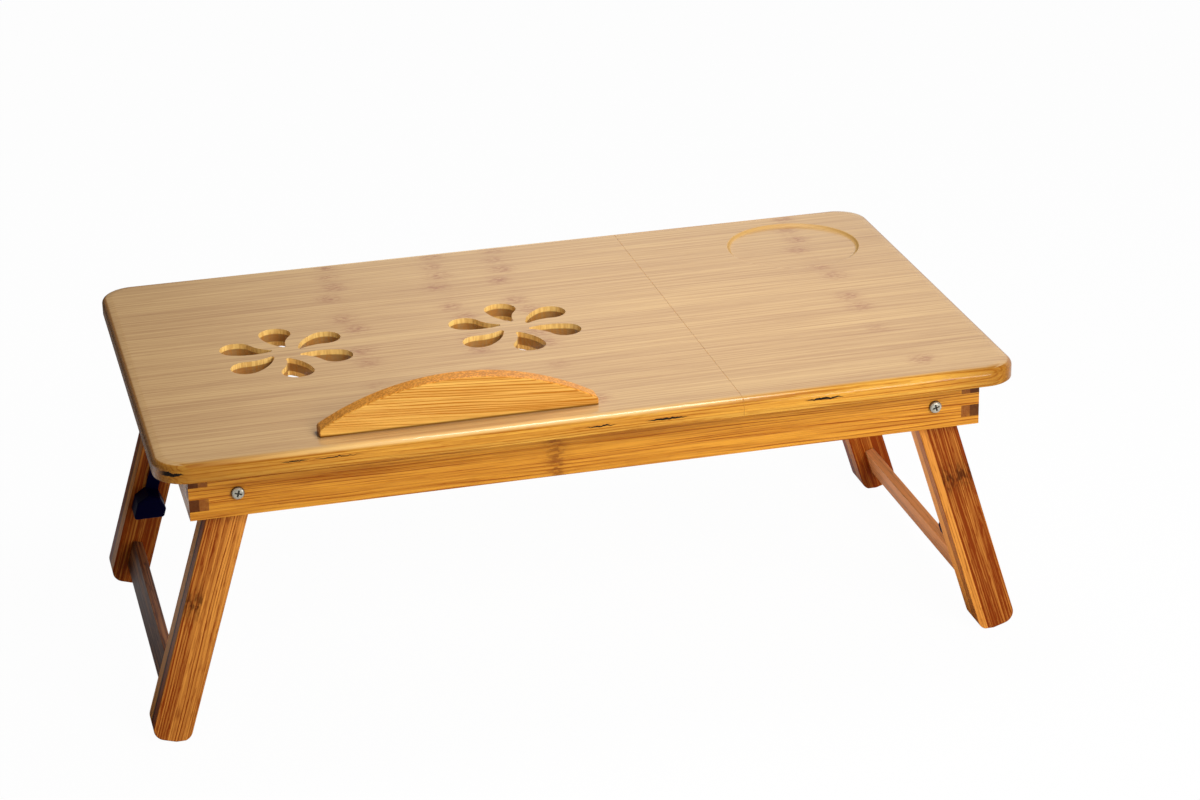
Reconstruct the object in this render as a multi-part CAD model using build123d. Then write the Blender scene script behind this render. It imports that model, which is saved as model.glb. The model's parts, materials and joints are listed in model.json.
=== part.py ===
from build123d import *
import os
from math import acos, atan2, cos, degrees, hypot, radians, sin, tan

# Folding bamboo bed desk: a two-panel top on a finger-jointed frame, legs that fold flat,
# a vented left panel that tilts on a prop, and a small drawer in the right end.
# Millimetres. +X is the user's right, +Y is away from the user, +Z is up.
# The origin is on the floor, under the middle of the desk.

# Overall sizes
top_length = 550
top_depth = 325
top_height = 200.5
overrun = 5

# Top panels
panel_thickness = 12
corner_radius = 22
top_fall_width = 8
top_fall_drop = 1
top_edge_round = 4
under_edge_round = 0.6
seam_x = 91
seam_gap = 0.2

# Flower vents
flower_shift_x = -1.65
flower_shift_y = 2.6
flower_pitch = 152.5
petal_count = 6
petal_end_radius = 10.6
petal_end_reach = 34.2
petal_end_lean = 2.4
petal_tip_radius = 1.6
petal_tip_reach = 11.7
petal_tip_lean = 0.2
petal_full_side_radius = 35
petal_hollow_side_radius = 25

# Mug well
well_from_right_edge = 69.6
well_from_back_edge = 65.5
well_floor_radius = 43
well_cove_radius = 3.5
well_depth = 2

# Book stop
stop_shift_x = 7
stop_length = 175.2
stop_thickness = 12
stop_end_height = 4.8
stop_peak_height = 28.6
stop_from_front_edge = 18.2
stop_end_round = 2.5
stop_edge_round = 1.2
stop_screw_spacing = 72
stop_screw_depth = 10

# Frame
frame_overhang = 20.5
rail_height = 33.5
long_rail_thickness = 10
end_rail_thickness = 12
lowest_finger = 5.7
finger_height = 7.9
finger_levels = 4
center_rail_x = 32
center_rail_thickness = 12
tenon_depth = 5
seam_batten_width = 24
seam_batten_thickness = 5

# Dowels under the fixed panel
dowel_radius = 3
dowel_half_length = 8
dowel_from_seam = 32
dowel_from_end = 58.5
dowel_from_corner = 10

# Legs
leg_width = 25
leg_thickness = 24
foot_round = 8
foot_flat_depth = 0.6
pivot_from_end_rail = 18
pivot_above_rail_foot = 15.4
leg_stop_gap = 0.15
stretcher_width = 6.5
stretcher_height = 19
stretcher_above_foot = 22.2
stretcher_tenon = 9
stretcher_tenon_shoulder = 1.5

# Pivot hardware
screw_radius = 2
screw_length = 24
screw_head_radius = 4.1
screw_head_height = 2.6
screw_head_round = 1.6
recess_width = 1.1
recess_length = 4.6
recess_depth = 1.5
running_clearance = 0.08
seat_clearance = 0.02
washer_radius = 6
washer_thickness = 0.5
insert_radius = 3.5
insert_length = 14

# Slide lock on one leg of each pair
slider_stem_width = 8.5
slider_stem_thickness = 3
slider_stem_top = 9.5
slider_clearance = 0.3
tab_shoulder = 111
tab_half_width = 10
tab_neck = 7
tab_drop = 12.5
tab_reach = 18
tab_corner_round = 2
tab_edge_round = 1.5
key_top = 12
key_past_neck = 4
key_neck_width = 4.6
key_flange_width = 8.6
key_neck_depth = 2.6
key_flange_depth = 2.4

# Lock keeper on the end rail
keeper_thickness = 2
keeper_under_panel = 2.4
keeper_reach = 32
keeper_width = 14
keeper_flange_height = 10
keeper_slot_margin = 0.8
keeper_screw_radius = 1.3
keeper_screw_length = 9
keeper_screw_head_radius = 2.4
keeper_screw_head_height = 1.4
keeper_screw_head_round = 0.7
keeper_screw_spacing = 7

# Tilt hinges
tilt_stops = (14, 20, 25, 30)
hinge_from_end_rail = 36
hinge_from_stop_screw = 7.5
hinge_width = 32
hinge_leaf_thickness = 1.2
hinge_leaf_reach = 9.5
hinge_leaf_gap = 0.6
knuckle_radius = 2.5
knuckle_stand_off = 0.1
knuckle_end_gap = 0.3
knuckle_count = 3
hinge_pin_radius = 1.2
hinge_screw_radius = 1.1
hinge_screw_length = 7
hinge_screw_head_radius = 2
hinge_screw_head_height = 1
hinge_screw_spacing = 20
hinge_screw_from_rail_face = 5.6
mortise_clearance = 0.3

# Prop under the tilting panel
prop_foot_from_tab = 22.1
prop_drop = 4
prop_arm_spacing = 48
prop_arm_width = 10
prop_arm_thickness = 6
prop_foot_radius = 3.5
prop_foot_length = 102
prop_rod_radius = 2
prop_rod_length = 80
bracket_length = 9
bracket_depth = 14
bracket_gap = 0.5
bracket_wall = 2.5

# Notched racks and the battens that carry them
rack_spacing = 84
rack_width = 8
rack_height = 8
rack_clearance = 0.4
rack_lead = 23
rack_lag = 20.6
notch_depth = 1.8
batten_width = 10
batten_thickness = 4.5
batten_lead = 12
batten_lag = 14.6

# Drawer
drawer_from_seam = 7
drawer_from_tab = 4
drawer_under_panel = 6.1
drawer_height = 22.8
drawer_gap = 0.5
drawer_side_thickness = 6
drawer_bottom_thickness = 3
drawer_bottom_groove = 3
drawer_bottom_lift = 2.5
runner_wall = 5.5
runner_lip = 6
runner_lip_thickness = 2.5
knob_radius = 8
knob_neck_radius = 4
knob_length = 13
knob_neck_length = 4
knob_round = 2.5
knob_screw_radius = 1.6
knob_screw_depth = 8
knob_screw_head_radius = 3.2
knob_screw_head_height = 1.6

# Places on the top that follow from those sizes
panel_low = top_height - panel_thickness
panel_middle_x = (seam_x - top_length / 2) / 2
flower_middle_x = panel_middle_x + flower_shift_x
stop_middle_x = panel_middle_x + stop_shift_x
stop_middle_y = -top_depth / 2 + stop_from_front_edge + stop_thickness / 2
well_x = top_length / 2 - well_from_right_edge
well_y = top_depth / 2 - well_from_back_edge

# Places on the frame and the legs
rail_low = panel_low - rail_height
frame_x = top_length / 2 - frame_overhang
frame_y = top_depth / 2 - frame_overhang
end_inside = frame_x - end_rail_thickness
long_inside = frame_y - long_rail_thickness
pivot_x = end_inside - pivot_from_end_rail
pivot_z = rail_low + pivot_above_rail_foot
leg_outside = long_inside - washer_thickness
leg_inside = leg_outside - leg_thickness
splay = degrees(acos((leg_width / 2 + leg_stop_gap) / hypot(pivot_from_end_rail, pivot_above_rail_foot))
                - atan2(pivot_above_rail_foot, pivot_from_end_rail))
foot_rise = pivot_z + foot_flat_depth - foot_round - (leg_width / 2 - foot_round) * sin(radians(splay))
leg_length = foot_round + foot_rise / cos(radians(splay))
stretcher_from_pivot = leg_length - stretcher_above_foot

# Places on the locks and their keepers
slider_stem_end = tab_shoulder - tab_neck
tab_low = tab_shoulder + tab_drop
key_end = slider_stem_end + key_past_neck
tab_inside = leg_inside - tab_reach
keeper_top = panel_low - keeper_under_panel
keeper_low = keeper_top - keeper_flange_height
keeper_y = leg_inside - slider_stem_thickness / 2
keeper_screw_z = keeper_low + (keeper_flange_height - keeper_thickness) / 2

# Places on the tilt hinges, the prop and its racks
hinge_y = -frame_y - knuckle_radius - knuckle_stand_off
hinge_z = panel_low
hinge_xs = [-end_inside + hinge_from_end_rail + hinge_width / 2,
            stop_middle_x + stop_screw_spacing / 2 + hinge_from_stop_screw + hinge_width / 2]
hinge_end_y = hinge_y + knuckle_radius + hinge_leaf_reach
mortise_depth = hinge_leaf_thickness + hinge_leaf_gap / 2
mortise_half_width = hinge_width / 2 + mortise_clearance
prop_z = panel_low - prop_drop
prop_foot_y = tab_inside - prop_foot_from_tab
prop_length = (prop_foot_y - hinge_y) / 2
prop_pivot_y = hinge_y + prop_length
rack_top = prop_z - prop_foot_radius - rack_clearance
notch_ys = [hinge_y + 2 * prop_length * cos(radians(tilt)) + prop_drop * sin(radians(tilt))
            for tilt in tilt_stops]
batten_ys = (notch_ys[-1] - batten_lead, prop_foot_y + batten_lag)

# Places on the drawer
drawer_high = panel_low - drawer_under_panel
drawer_low = drawer_high - drawer_height
drawer_back_x = seam_x + drawer_from_seam
runner_outside = tab_inside - drawer_from_tab
drawer_half_width = runner_outside - runner_wall - drawer_gap
side_inside = drawer_half_width - drawer_side_thickness
bottom_low = drawer_low + drawer_bottom_lift
knob_z = (drawer_low + drawer_high) / 2

left_pivot = Pos(-pivot_x, 0, pivot_z) * Rot(0, splay, 0)
half_turn = Rot(0, 0, 180)
parts = {}


# Small helpers

def block(x0, x1, y0, y1, z0, z1):
    """A box from its low corner to its high corner."""
    return Pos((x0 + x1) / 2, (y0 + y1) / 2, (z0 + z1) / 2) * Box(x1 - x0, y1 - y0, z1 - z0)


def rod(axis, radius, low, high, a=0, b=0):
    """A round bar along X, Y or Z from low to high; a and b place it on the other two axes."""
    middle = (low + high) / 2
    bar = Cylinder(radius, high - low)
    if axis == "X":
        return Pos(middle, a, b) * Rot(0, 90, 0) * bar
    if axis == "Y":
        return Pos(a, middle, b) * Rot(90, 0, 0) * bar
    return Pos(a, b, middle) * bar


def group(pieces):
    """Several separate solids that share one node."""
    return Compound(children=[piece.solid() for piece in pieces])


def edges_along(shape, axis):
    """The straight edges of a shape that run along an axis."""
    return shape.edges().filter_by(axis)


def meeting_point(a, reach_a, b, reach_b, side):
    """The point at given distances from two points, on the left (1) or right (-1) of a to b."""
    span = hypot(b[0] - a[0], b[1] - a[1])
    along = (reach_a ** 2 - reach_b ** 2 + span ** 2) / (2 * span)
    off = side * (reach_a ** 2 - along ** 2) ** 0.5
    ux, uy = (b[0] - a[0]) / span, (b[1] - a[1]) / span
    return (a[0] + along * ux - off * uy, a[1] + along * uy + off * ux)


def towards(start, target, distance):
    """The point at a distance from start in the direction of target."""
    span = hypot(target[0] - start[0], target[1] - start[1])
    return tuple(s + (t - s) * distance / span for s, t in zip(start, target))


def arc_on(center, radius, start, end, bulge_towards):
    """The arc of a circle from start to end that passes the side nearest to a point."""
    return ThreePointArc(start, towards(center, bulge_towards, radius), end)


def pan_head_screw(length):
    """A pan-head screw along Z, its head sitting on z = 0 and its shank below."""
    head = Cylinder(screw_head_radius, screw_head_height, align=(Align.CENTER, Align.CENTER, Align.MIN))
    head = fillet(head.edges().sort_by(Axis.Z)[-1], screw_head_round)
    bar = Box(recess_length, recess_width, 2 * recess_depth)
    cross = Pos(0, 0, screw_head_height) * (bar + Rot(0, 0, 90) * bar)
    return head - cross + rod("Z", screw_radius, -length, 0)


def flat_head_screw(radius, length, head_radius, head_height):
    """A countersunk screw along Z, its flat head flush with z = 0 and its shank below."""
    head = Pos(0, 0, -head_height / 2) * Cone(radius, head_radius, head_height)
    return head + rod("Z", radius, -length, -head_height)


# Top panels

def petal_outline():
    """One comma-shaped petal that points along +Y from the flower's middle."""
    end = (-petal_end_lean, petal_end_reach)
    tip = (petal_tip_lean, petal_tip_reach)
    full = meeting_point(tip, petal_full_side_radius - petal_tip_radius,
                         end, petal_full_side_radius - petal_end_radius, -1)
    hollow = meeting_point(tip, petal_hollow_side_radius + petal_tip_radius,
                           end, petal_hollow_side_radius + petal_end_radius, -1)
    end_full = towards(full, end, petal_full_side_radius)
    tip_full = towards(full, tip, petal_full_side_radius)
    end_hollow = towards(hollow, end, petal_hollow_side_radius)
    tip_hollow = towards(hollow, tip, petal_hollow_side_radius)
    middle = ((end[0] + tip[0]) / 2, (end[1] + tip[1]) / 2)
    beyond_end = towards(tip, end, 2 * petal_end_reach)
    outline = [arc_on(end, petal_end_radius, end_full, end_hollow, beyond_end),
               arc_on(hollow, petal_hollow_side_radius, end_hollow, tip_hollow, middle),
               arc_on(tip, petal_tip_radius, tip_hollow, tip_full, (0, 0)),
               arc_on(full, petal_full_side_radius, tip_full, end_full, middle)]
    return make_face(outline)


def flower_cut():
    """Six petals as one set of cutters, deep enough to go right through a panel."""
    petal = Pos(0, 0, -overrun) * extrude(petal_outline(), panel_thickness + 2 * overrun)
    return [Rot(0, 0, 360 / petal_count * turn) * petal for turn in range(petal_count)]


def top_blank():
    """The whole top in one piece, which falls away a little at its rim and is rounded there."""
    blank = extrude(RectangleRounded(top_length, top_depth, corner_radius), panel_thickness)
    face = blank.faces().sort_by(Axis.Z)[-1]
    blank = chamfer(face.edges(), top_fall_width, top_fall_drop, reference=face)
    shoulder = panel_thickness - top_fall_drop
    blank = fillet(blank.edges().filter_by_position(Axis.Z, shoulder, shoulder), top_edge_round)
    blank = fillet(blank.faces().sort_by(Axis.Z)[0].edges(), under_edge_round)
    return Pos(0, 0, panel_low) * blank


def half_top(x0, x1):
    """The slice of the top between two places along X."""
    reach = top_depth / 2 + overrun
    return top_blank() & block(x0, x1, -reach, reach, panel_low - overrun, top_height + overrun)


def hinge_screw_places():
    """Where the screws of the hinge leaves stand, seen from above."""
    y = -frame_y + hinge_screw_from_rail_face
    offsets = (-hinge_screw_spacing / 2, hinge_screw_spacing / 2)
    return [(x + offset, y) for x in hinge_xs for offset in offsets]


def stop_screw_places():
    """Where the two screws of the book stop stand, seen from above."""
    return [(stop_middle_x + side * stop_screw_spacing / 2, stop_middle_y) for side in (-1, 1)]


def make_tilt_panel():
    """The left panel, with its flower vents, hinge mortises and screw holes."""
    panel = half_top(-top_length / 2 - overrun, seam_x - seam_gap / 2)
    for side in (-1, 1):
        place = Pos(flower_middle_x + side * flower_pitch / 2, flower_shift_y, panel_low)
        for petal in flower_cut():
            panel -= place * petal
    recess = knuckle_radius + mortise_clearance
    for x in hinge_xs:
        panel -= block(x - mortise_half_width, x + mortise_half_width, hinge_y,
                       hinge_end_y + mortise_clearance, panel_low - overrun, panel_low + mortise_depth)
        panel -= rod("X", recess, x - mortise_half_width, x + mortise_half_width, hinge_y, hinge_z)
    for x, y in hinge_screw_places():
        depth = hinge_leaf_gap / 2 + hinge_screw_length + seat_clearance
        panel -= rod("Z", hinge_screw_radius + seat_clearance, panel_low - overrun, panel_low + depth, x, y)
    for x, y in stop_screw_places():
        cutter = flat_head_screw(hinge_screw_radius + seat_clearance, panel_thickness + overrun,
                                 hinge_screw_head_radius + seat_clearance, hinge_screw_head_height)
        panel -= Pos(x, y, panel_low) * Rot(180, 0, 0) * cutter
    return panel


def dowel_places():
    """Where the dowels under the fixed panel stand, seen from above."""
    long_y = frame_y - long_rail_thickness / 2
    end_x = frame_x - end_rail_thickness / 2
    long_xs = (seam_x + dowel_from_seam, frame_x - dowel_from_end)
    places = [(x, side * long_y) for x in long_xs for side in (-1, 1)]
    return places + [(end_x, side * (long_inside - dowel_from_corner)) for side in (-1, 1)]


def make_dowels(clearance=0):
    """The dowels, or with a clearance, the holes that they fill."""
    reach = dowel_half_length + clearance
    return [rod("Z", dowel_radius + clearance, panel_low - reach, panel_low + reach, x, y)
            for x, y in dowel_places()]


def well_cut():
    """The cutter of the shallow well for a mug, with a flat floor and a coved wall."""
    floor = top_height - well_depth
    above = top_height + overrun
    turn = acos(1 - well_depth / well_cove_radius)

    def on_cove(angle):
        return (well_floor_radius + well_cove_radius * sin(angle), floor + well_cove_radius * (1 - cos(angle)))

    rim = on_cove(turn)
    profile = make_face([
        Line((0, floor), (well_floor_radius, floor)),
        ThreePointArc((well_floor_radius, floor), on_cove(turn / 2), rim),
        Line(rim, (rim[0], above)),
        Line((rim[0], above), (0, above)),
        Line((0, above), (0, floor))])
    return revolve(Plane.XZ * profile, Axis.Z)


def make_fixed_panel():
    """The right panel, with the mug well cut into it."""
    panel = half_top(seam_x + seam_gap / 2, top_length / 2 + overrun)
    panel -= Pos(well_x, well_y, 0) * well_cut()
    for hole in make_dowels(seat_clearance):
        panel -= hole
    return panel


def make_book_stop():
    """The arched strip that keeps a book or laptop from sliding off."""
    half = stop_length / 2
    outline = make_face([
        Line((-half, 0), (half, 0)),
        Line((half, 0), (half, stop_end_height)),
        ThreePointArc((half, stop_end_height), (0, stop_peak_height), (-half, stop_end_height)),
        Line((-half, stop_end_height), (-half, 0))])
    outline = fillet(outline.vertices().group_by(Axis.Y)[-1], stop_end_round)
    strip = extrude(outline, stop_thickness)
    rim = strip.edges().filter_by(GeomType.CIRCLE)
    strip = fillet(rim, stop_edge_round)
    back_y = stop_middle_y + stop_thickness / 2
    strip = Pos(stop_middle_x, back_y, top_height) * Rot(90, 0, 0) * strip
    for x, y in stop_screw_places():
        strip -= rod("Z", hinge_screw_radius + seat_clearance, top_height - overrun,
                     top_height + stop_screw_depth, x, y)
    return strip


def make_stop_screws():
    """Two countersunk screws that hold the book stop from below."""
    length = panel_thickness + stop_screw_depth - seat_clearance
    screw = flat_head_screw(hinge_screw_radius, length, hinge_screw_head_radius, hinge_screw_head_height)
    return [Pos(x, y, panel_low) * Rot(180, 0, 0) * screw for x, y in stop_screw_places()]


# Frame

def finger_bands(first):
    """Heights of every second finger from the rail's foot, as low and high pairs."""
    bounds = [0, lowest_finger]
    bounds += [lowest_finger + finger_height * level for level in range(1, finger_levels)]
    bounds += [rail_height]
    return [(rail_low + bounds[i], rail_low + bounds[i + 1]) for i in range(first, len(bounds) - 1, 2)]


def make_long_rail(side):
    """The front (-1) or back (1) rail, cut for the end rails' fingers and the leg pivots."""
    y0, y1 = sorted((side * frame_y, side * long_inside))
    rail = block(-frame_x, frame_x, y0, y1, rail_low, panel_low)
    for end in (-1, 1):
        x0, x1 = sorted((end * (frame_x + overrun), end * end_inside))
        for low, high in finger_bands(1):
            rail -= block(x0, x1, y0, y1, low, high)
        rail -= rod("Y", screw_radius + running_clearance, y0 - overrun, y1 + overrun, end * pivot_x, pivot_z)
    t0, t1 = sorted((side * long_inside, side * (long_inside + tenon_depth)))
    half = center_rail_thickness / 2
    rail -= block(center_rail_x - half, center_rail_x + half, t0, t1, rail_low, panel_low)
    half = seam_batten_width / 2
    rail -= block(seam_x - half, seam_x + half, t0, t1, panel_low - seam_batten_thickness, panel_low)
    for hole in make_dowels(seat_clearance):
        rail -= hole
    return rail


def make_front_rail():
    """The front rail, with mortises for the tilt hinges in its top."""
    rail = make_long_rail(-1)
    for x in hinge_xs:
        rail -= block(x - mortise_half_width, x + mortise_half_width, -frame_y - overrun, -long_inside,
                      panel_low - mortise_depth, panel_low)
        rail -= rod("X", knuckle_radius + mortise_clearance, x - mortise_half_width, x + mortise_half_width,
                    hinge_y, hinge_z)
    for x, y in hinge_screw_places():
        depth = hinge_leaf_gap / 2 + hinge_screw_length + seat_clearance
        rail -= rod("Z", hinge_screw_radius + seat_clearance, panel_low - depth, panel_low, x, y)
    return rail


def make_end_rail(side):
    """The left (-1) or right (1) end rail, cut for the long rails' fingers."""
    x0, x1 = sorted((side * frame_x, side * end_inside))
    rail = block(x0, x1, -frame_y, frame_y, rail_low, panel_low)
    for end in (-1, 1):
        y0, y1 = sorted((end * (frame_y + overrun), end * long_inside))
        for low, high in finger_bands(0):
            rail -= block(x0, x1, y0, y1, low, high)
    for screw in keeper_screw_set(side, seat_clearance):
        rail -= screw
    return rail


def make_left_end_rail():
    """The left end rail, with mortises for the rack battens."""
    rail = make_end_rail(-1)
    for batten in rack_battens():
        rail -= batten
    return rail


def make_right_end_rail():
    """The right end rail, with a window for the drawer."""
    rail = make_end_rail(1)
    for hole in make_dowels(seat_clearance):
        rail -= hole
    half = drawer_half_width + drawer_gap
    return rail - block(end_inside - overrun, frame_x + overrun, -half, half,
                        drawer_low - drawer_gap, drawer_high + drawer_gap)


def make_center_rail():
    """The rail from front to back between the folded feet, tenoned into both long rails."""
    half = center_rail_thickness / 2
    reach = long_inside + tenon_depth
    rail = block(center_rail_x - half, center_rail_x + half, -reach, reach, rail_low, panel_low)
    for batten in rack_battens():
        rail -= batten
    return rail


def make_seam_batten():
    """The thin batten under the seam, above the folded legs."""
    half = seam_batten_width / 2
    reach = long_inside + tenon_depth
    return block(seam_x - half, seam_x + half, -reach, reach, panel_low - seam_batten_thickness, panel_low)


# Notched racks under the tilting panel

def rack_battens():
    """The two thin battens from the left end rail to the center rail."""
    x0 = -end_inside - tenon_depth
    x1 = center_rail_x - center_rail_thickness / 2 + tenon_depth
    half = batten_width / 2
    return [block(x0, x1, y - half, y + half, rack_top - batten_thickness, rack_top) for y in batten_ys]


def make_rack(side):
    """One notched strip, half-lapped under both battens."""
    x = flower_middle_x + side * rack_spacing / 2
    x0, x1 = x - rack_width / 2, x + rack_width / 2
    strip = block(x0, x1, notch_ys[-1] - rack_lead, prop_foot_y + rack_lag, rack_top - rack_height, rack_top)
    for batten in rack_battens():
        strip -= batten
    notch_radius = prop_foot_radius + rack_clearance
    notch_z = rack_top - notch_depth + notch_radius
    for y in notch_ys:
        strip -= rod("X", notch_radius, x0, x1, y, notch_z)
    return strip


# Prop

def make_prop_arm(side):
    """One flat arm from the pivot rod to the foot bar, round at both ends."""
    x = flower_middle_x + side * prop_arm_spacing / 2
    x0, x1 = x - prop_arm_width / 2, x + prop_arm_width / 2
    half = prop_arm_thickness / 2
    arm = block(x0, x1, prop_pivot_y, prop_foot_y, prop_z - half, prop_z + half)
    arm += rod("X", half, x0, x1, prop_pivot_y, prop_z)
    arm -= rod("X", prop_rod_radius + seat_clearance, x0, x1, prop_pivot_y, prop_z)
    return arm - rod("X", prop_foot_radius + seat_clearance, x0, x1, prop_foot_y, prop_z)


def prop_bar(radius, length, y):
    """A round bar across the prop."""
    return rod("X", radius, flower_middle_x - length / 2, flower_middle_x + length / 2, y, prop_z)


def make_bracket(side):
    """One block on the panel's underside that carries an end of the pivot rod."""
    arm_outside = prop_arm_spacing / 2 + prop_arm_width / 2
    near = flower_middle_x + side * (arm_outside + bracket_gap)
    x0, x1 = sorted((near, near + side * bracket_length))
    low = prop_z - prop_rod_radius - bracket_wall
    bracket = block(x0, x1, prop_pivot_y - bracket_depth / 2, prop_pivot_y + bracket_depth / 2, low, panel_low)
    low_edges = edges_along(bracket, Axis.X).group_by(Axis.Z)[0]
    bracket = chamfer(low_edges, bracket_wall)
    return bracket - rod("X", prop_rod_radius + running_clearance, x0, x1, prop_pivot_y, prop_z)


# Tilt hinges

def knuckle_spans(x):
    """The spans of a hinge's knuckles along X, from left to right."""
    pitch = hinge_width / knuckle_count
    start = x - hinge_width / 2
    gap = knuckle_end_gap / 2
    return [(start + pitch * i + gap, start + pitch * (i + 1) - gap) for i in range(knuckle_count)]


def make_hinge_leaf(x, side):
    """The lower (-1) or upper (1) leaf of one hinge, with its share of the knuckles."""
    z0, z1 = sorted((hinge_z + side * hinge_leaf_gap / 2,
                     hinge_z + side * (hinge_leaf_gap / 2 + hinge_leaf_thickness)))
    plate_y = hinge_y + knuckle_radius + mortise_clearance
    leaf = block(x - hinge_width / 2, x + hinge_width / 2, plate_y, hinge_end_y, z0, z1)
    own = [1] if side < 0 else [0, 2]
    bore = hinge_pin_radius + (seat_clearance if side < 0 else running_clearance)
    spans = knuckle_spans(x)
    for i in own:
        leaf += block(*spans[i], hinge_y, plate_y, z0, z1)
        leaf += rod("X", knuckle_radius, *spans[i], hinge_y, hinge_z)
        leaf -= rod("X", bore, *spans[i], hinge_y, hinge_z)
    for screw in hinge_screws(side, seat_clearance):
        leaf -= screw
    return leaf


def hinge_screws(side, clearance=0):
    """The countersunk screws of the lower (-1) or upper (1) leaves, or the holes that they fill."""
    screw = flat_head_screw(hinge_screw_radius + clearance, hinge_screw_length,
                            hinge_screw_head_radius + clearance, hinge_screw_head_height)
    turn = Rot(0, 0, 0) if side < 0 else Rot(180, 0, 0)
    z = hinge_z + side * hinge_leaf_gap / 2
    return [Pos(x, y, z) * turn * screw for x, y in hinge_screw_places()]


def make_hinge_pins():
    """A straight pin through each hinge."""
    return [rod("X", hinge_pin_radius, x - hinge_width / 2, x + hinge_width / 2, hinge_y, hinge_z)
            for x in hinge_xs]


# Legs, built upright below a pivot at the origin and then splayed

def leg_blank(side):
    """A plain leg in front (-1) or at the back (1), round at its pivot, with softened foot corners."""
    y0, y1 = sorted((side * leg_outside, side * leg_inside))
    leg = block(-leg_width / 2, leg_width / 2, y0, y1, -leg_length, 0)
    leg += rod("Y", leg_width / 2, y0, y1)
    foot = edges_along(leg, Axis.Y).group_by(Axis.Z)[0]
    leg = fillet(foot, foot_round)
    insert0, insert1 = sorted((side * leg_outside, side * (leg_outside - insert_length)))
    leg -= rod("Y", insert_radius + seat_clearance, insert0, insert1)
    return leg - stretcher_blank()


def lock_groove():
    """The T-shaped groove for the lock's key in the rear leg's inner face, open at the top."""
    neck = key_neck_width / 2 + slider_clearance
    flange = key_flange_width / 2 + slider_clearance
    low = -key_end - slider_clearance
    neck_y = leg_inside + key_neck_depth - slider_clearance
    floor_y = leg_inside + key_neck_depth + key_flange_depth + slider_clearance
    high = leg_width / 2 + overrun
    groove = block(-neck, neck, leg_inside - overrun, floor_y, low, high)
    return groove + block(-flange, flange, neck_y, floor_y, low, high)


def on_left(shape):
    """Splay a leg piece and set it at the left pivot."""
    return left_pivot * shape


def above_floor(shape):
    """Cut a foot flat where it stands."""
    reach = top_length
    return shape - block(-reach, reach, -reach, reach, -reach, 0)


def stretcher_blank():
    """The flat bar between the two legs of a pair, with a tenon at each end."""
    half_width, half_height = stretcher_width / 2, stretcher_height / 2
    low, high = -stretcher_from_pivot - half_height, -stretcher_from_pivot + half_height
    bar = block(-half_width, half_width, -leg_inside, leg_inside, low, high)
    reach = leg_inside + stretcher_tenon
    shoulder = stretcher_tenon_shoulder
    return bar + block(-half_width + shoulder, half_width - shoulder, -reach, reach,
                       low + shoulder, high - shoulder)


def make_pivot_screws():
    """The two screws that a pair of legs turns on, with their heads outside the rails."""
    screw = pan_head_screw(screw_length)
    return [Pos(0, side * frame_y, 0) * Rot(-90 * side, 0, 0) * screw for side in (-1, 1)]


def make_pivot_washers():
    """The washers between the legs and the rails."""
    rings = []
    for side in (-1, 1):
        y0, y1 = sorted((side * leg_outside, side * long_inside))
        ring = rod("Y", washer_radius, y0, y1) - rod("Y", screw_radius + seat_clearance, y0, y1)
        rings.append(ring)
    return rings


def make_pivot_inserts():
    """The threaded inserts in the legs."""
    sleeves = []
    for side in (-1, 1):
        y0, y1 = sorted((side * leg_outside, side * (leg_outside - insert_length)))
        sleeves.append(rod("Y", insert_radius, y0, y1) - rod("Y", screw_radius + seat_clearance, y0, y1))
    return sleeves


# Slide locks

def make_slider():
    """The lock: a thumb tab, a stem on the leg's face and a T-shaped key behind it."""
    half_stem = slider_stem_width / 2
    level = 2 * tab_half_width * tan(radians(splay))
    outline = make_face(Polyline(
        (-half_stem, -slider_stem_end), (-tab_half_width, -tab_shoulder), (-tab_half_width, -tab_low),
        (tab_half_width, -tab_low + level), (tab_half_width, -tab_shoulder), (half_stem, -slider_stem_end),
        close=True))
    outline = fillet(outline.vertices().group_by(Axis.Y)[0:-1], tab_corner_round)
    tab = Pos(0, leg_inside, 0) * Rot(90, 0, 0) * extrude(outline, tab_reach)
    outer = tab.faces().sort_by(Axis.Y)[0].edges()
    tab = fillet(outer, tab_edge_round)
    stem = block(-half_stem, half_stem, leg_inside - slider_stem_thickness, leg_inside,
                 -slider_stem_end, slider_stem_top)
    neck_end = leg_inside + key_neck_depth
    neck = block(-key_neck_width / 2, key_neck_width / 2, leg_inside, neck_end, -key_end, -key_top)
    flange = block(-key_flange_width / 2, key_flange_width / 2, neck_end, neck_end + key_flange_depth,
                   -key_end, -key_top)
    return tab + stem + neck + flange


def keeper_screw_set(side, clearance=0):
    """The two screws of the left (-1) or right (1) keeper, or the holes that they fill."""
    screws = []
    face_x = end_inside - keeper_thickness
    for offset in (-keeper_screw_spacing / 2, keeper_screw_spacing / 2):
        shank = rod("X", keeper_screw_radius + clearance, face_x, face_x + keeper_screw_length,
                    -keeper_y + offset, keeper_screw_z)
        head = rod("X", keeper_screw_head_radius, face_x - keeper_screw_head_height, face_x,
                   -keeper_y + offset, keeper_screw_z)
        screw = shank + fillet(head.edges().sort_by(Axis.X)[0], keeper_screw_head_round)
        screws.append(screw if side > 0 else half_turn * screw)
    return screws


def make_keeper():
    """The left keeper: an angle plate on the end rail with a slot for the lock's stem."""
    y0, y1 = keeper_y - keeper_width / 2, keeper_y + keeper_width / 2
    plate = block(-end_inside, -end_inside + keeper_reach, y0, y1, keeper_top - keeper_thickness, keeper_top)
    plate += block(-end_inside, -end_inside + keeper_thickness, y0, y1, keeper_low, keeper_top)
    half_stem = slider_stem_width / 2 + keeper_slot_margin
    thick = slider_stem_thickness / 2 + keeper_slot_margin
    slot = block(-half_stem, half_stem, keeper_y - thick, keeper_y + thick, 0, top_height)
    plate -= on_left(slot)
    for screw in keeper_screw_set(-1, seat_clearance):
        plate -= screw
    return plate


# Drawer

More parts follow.
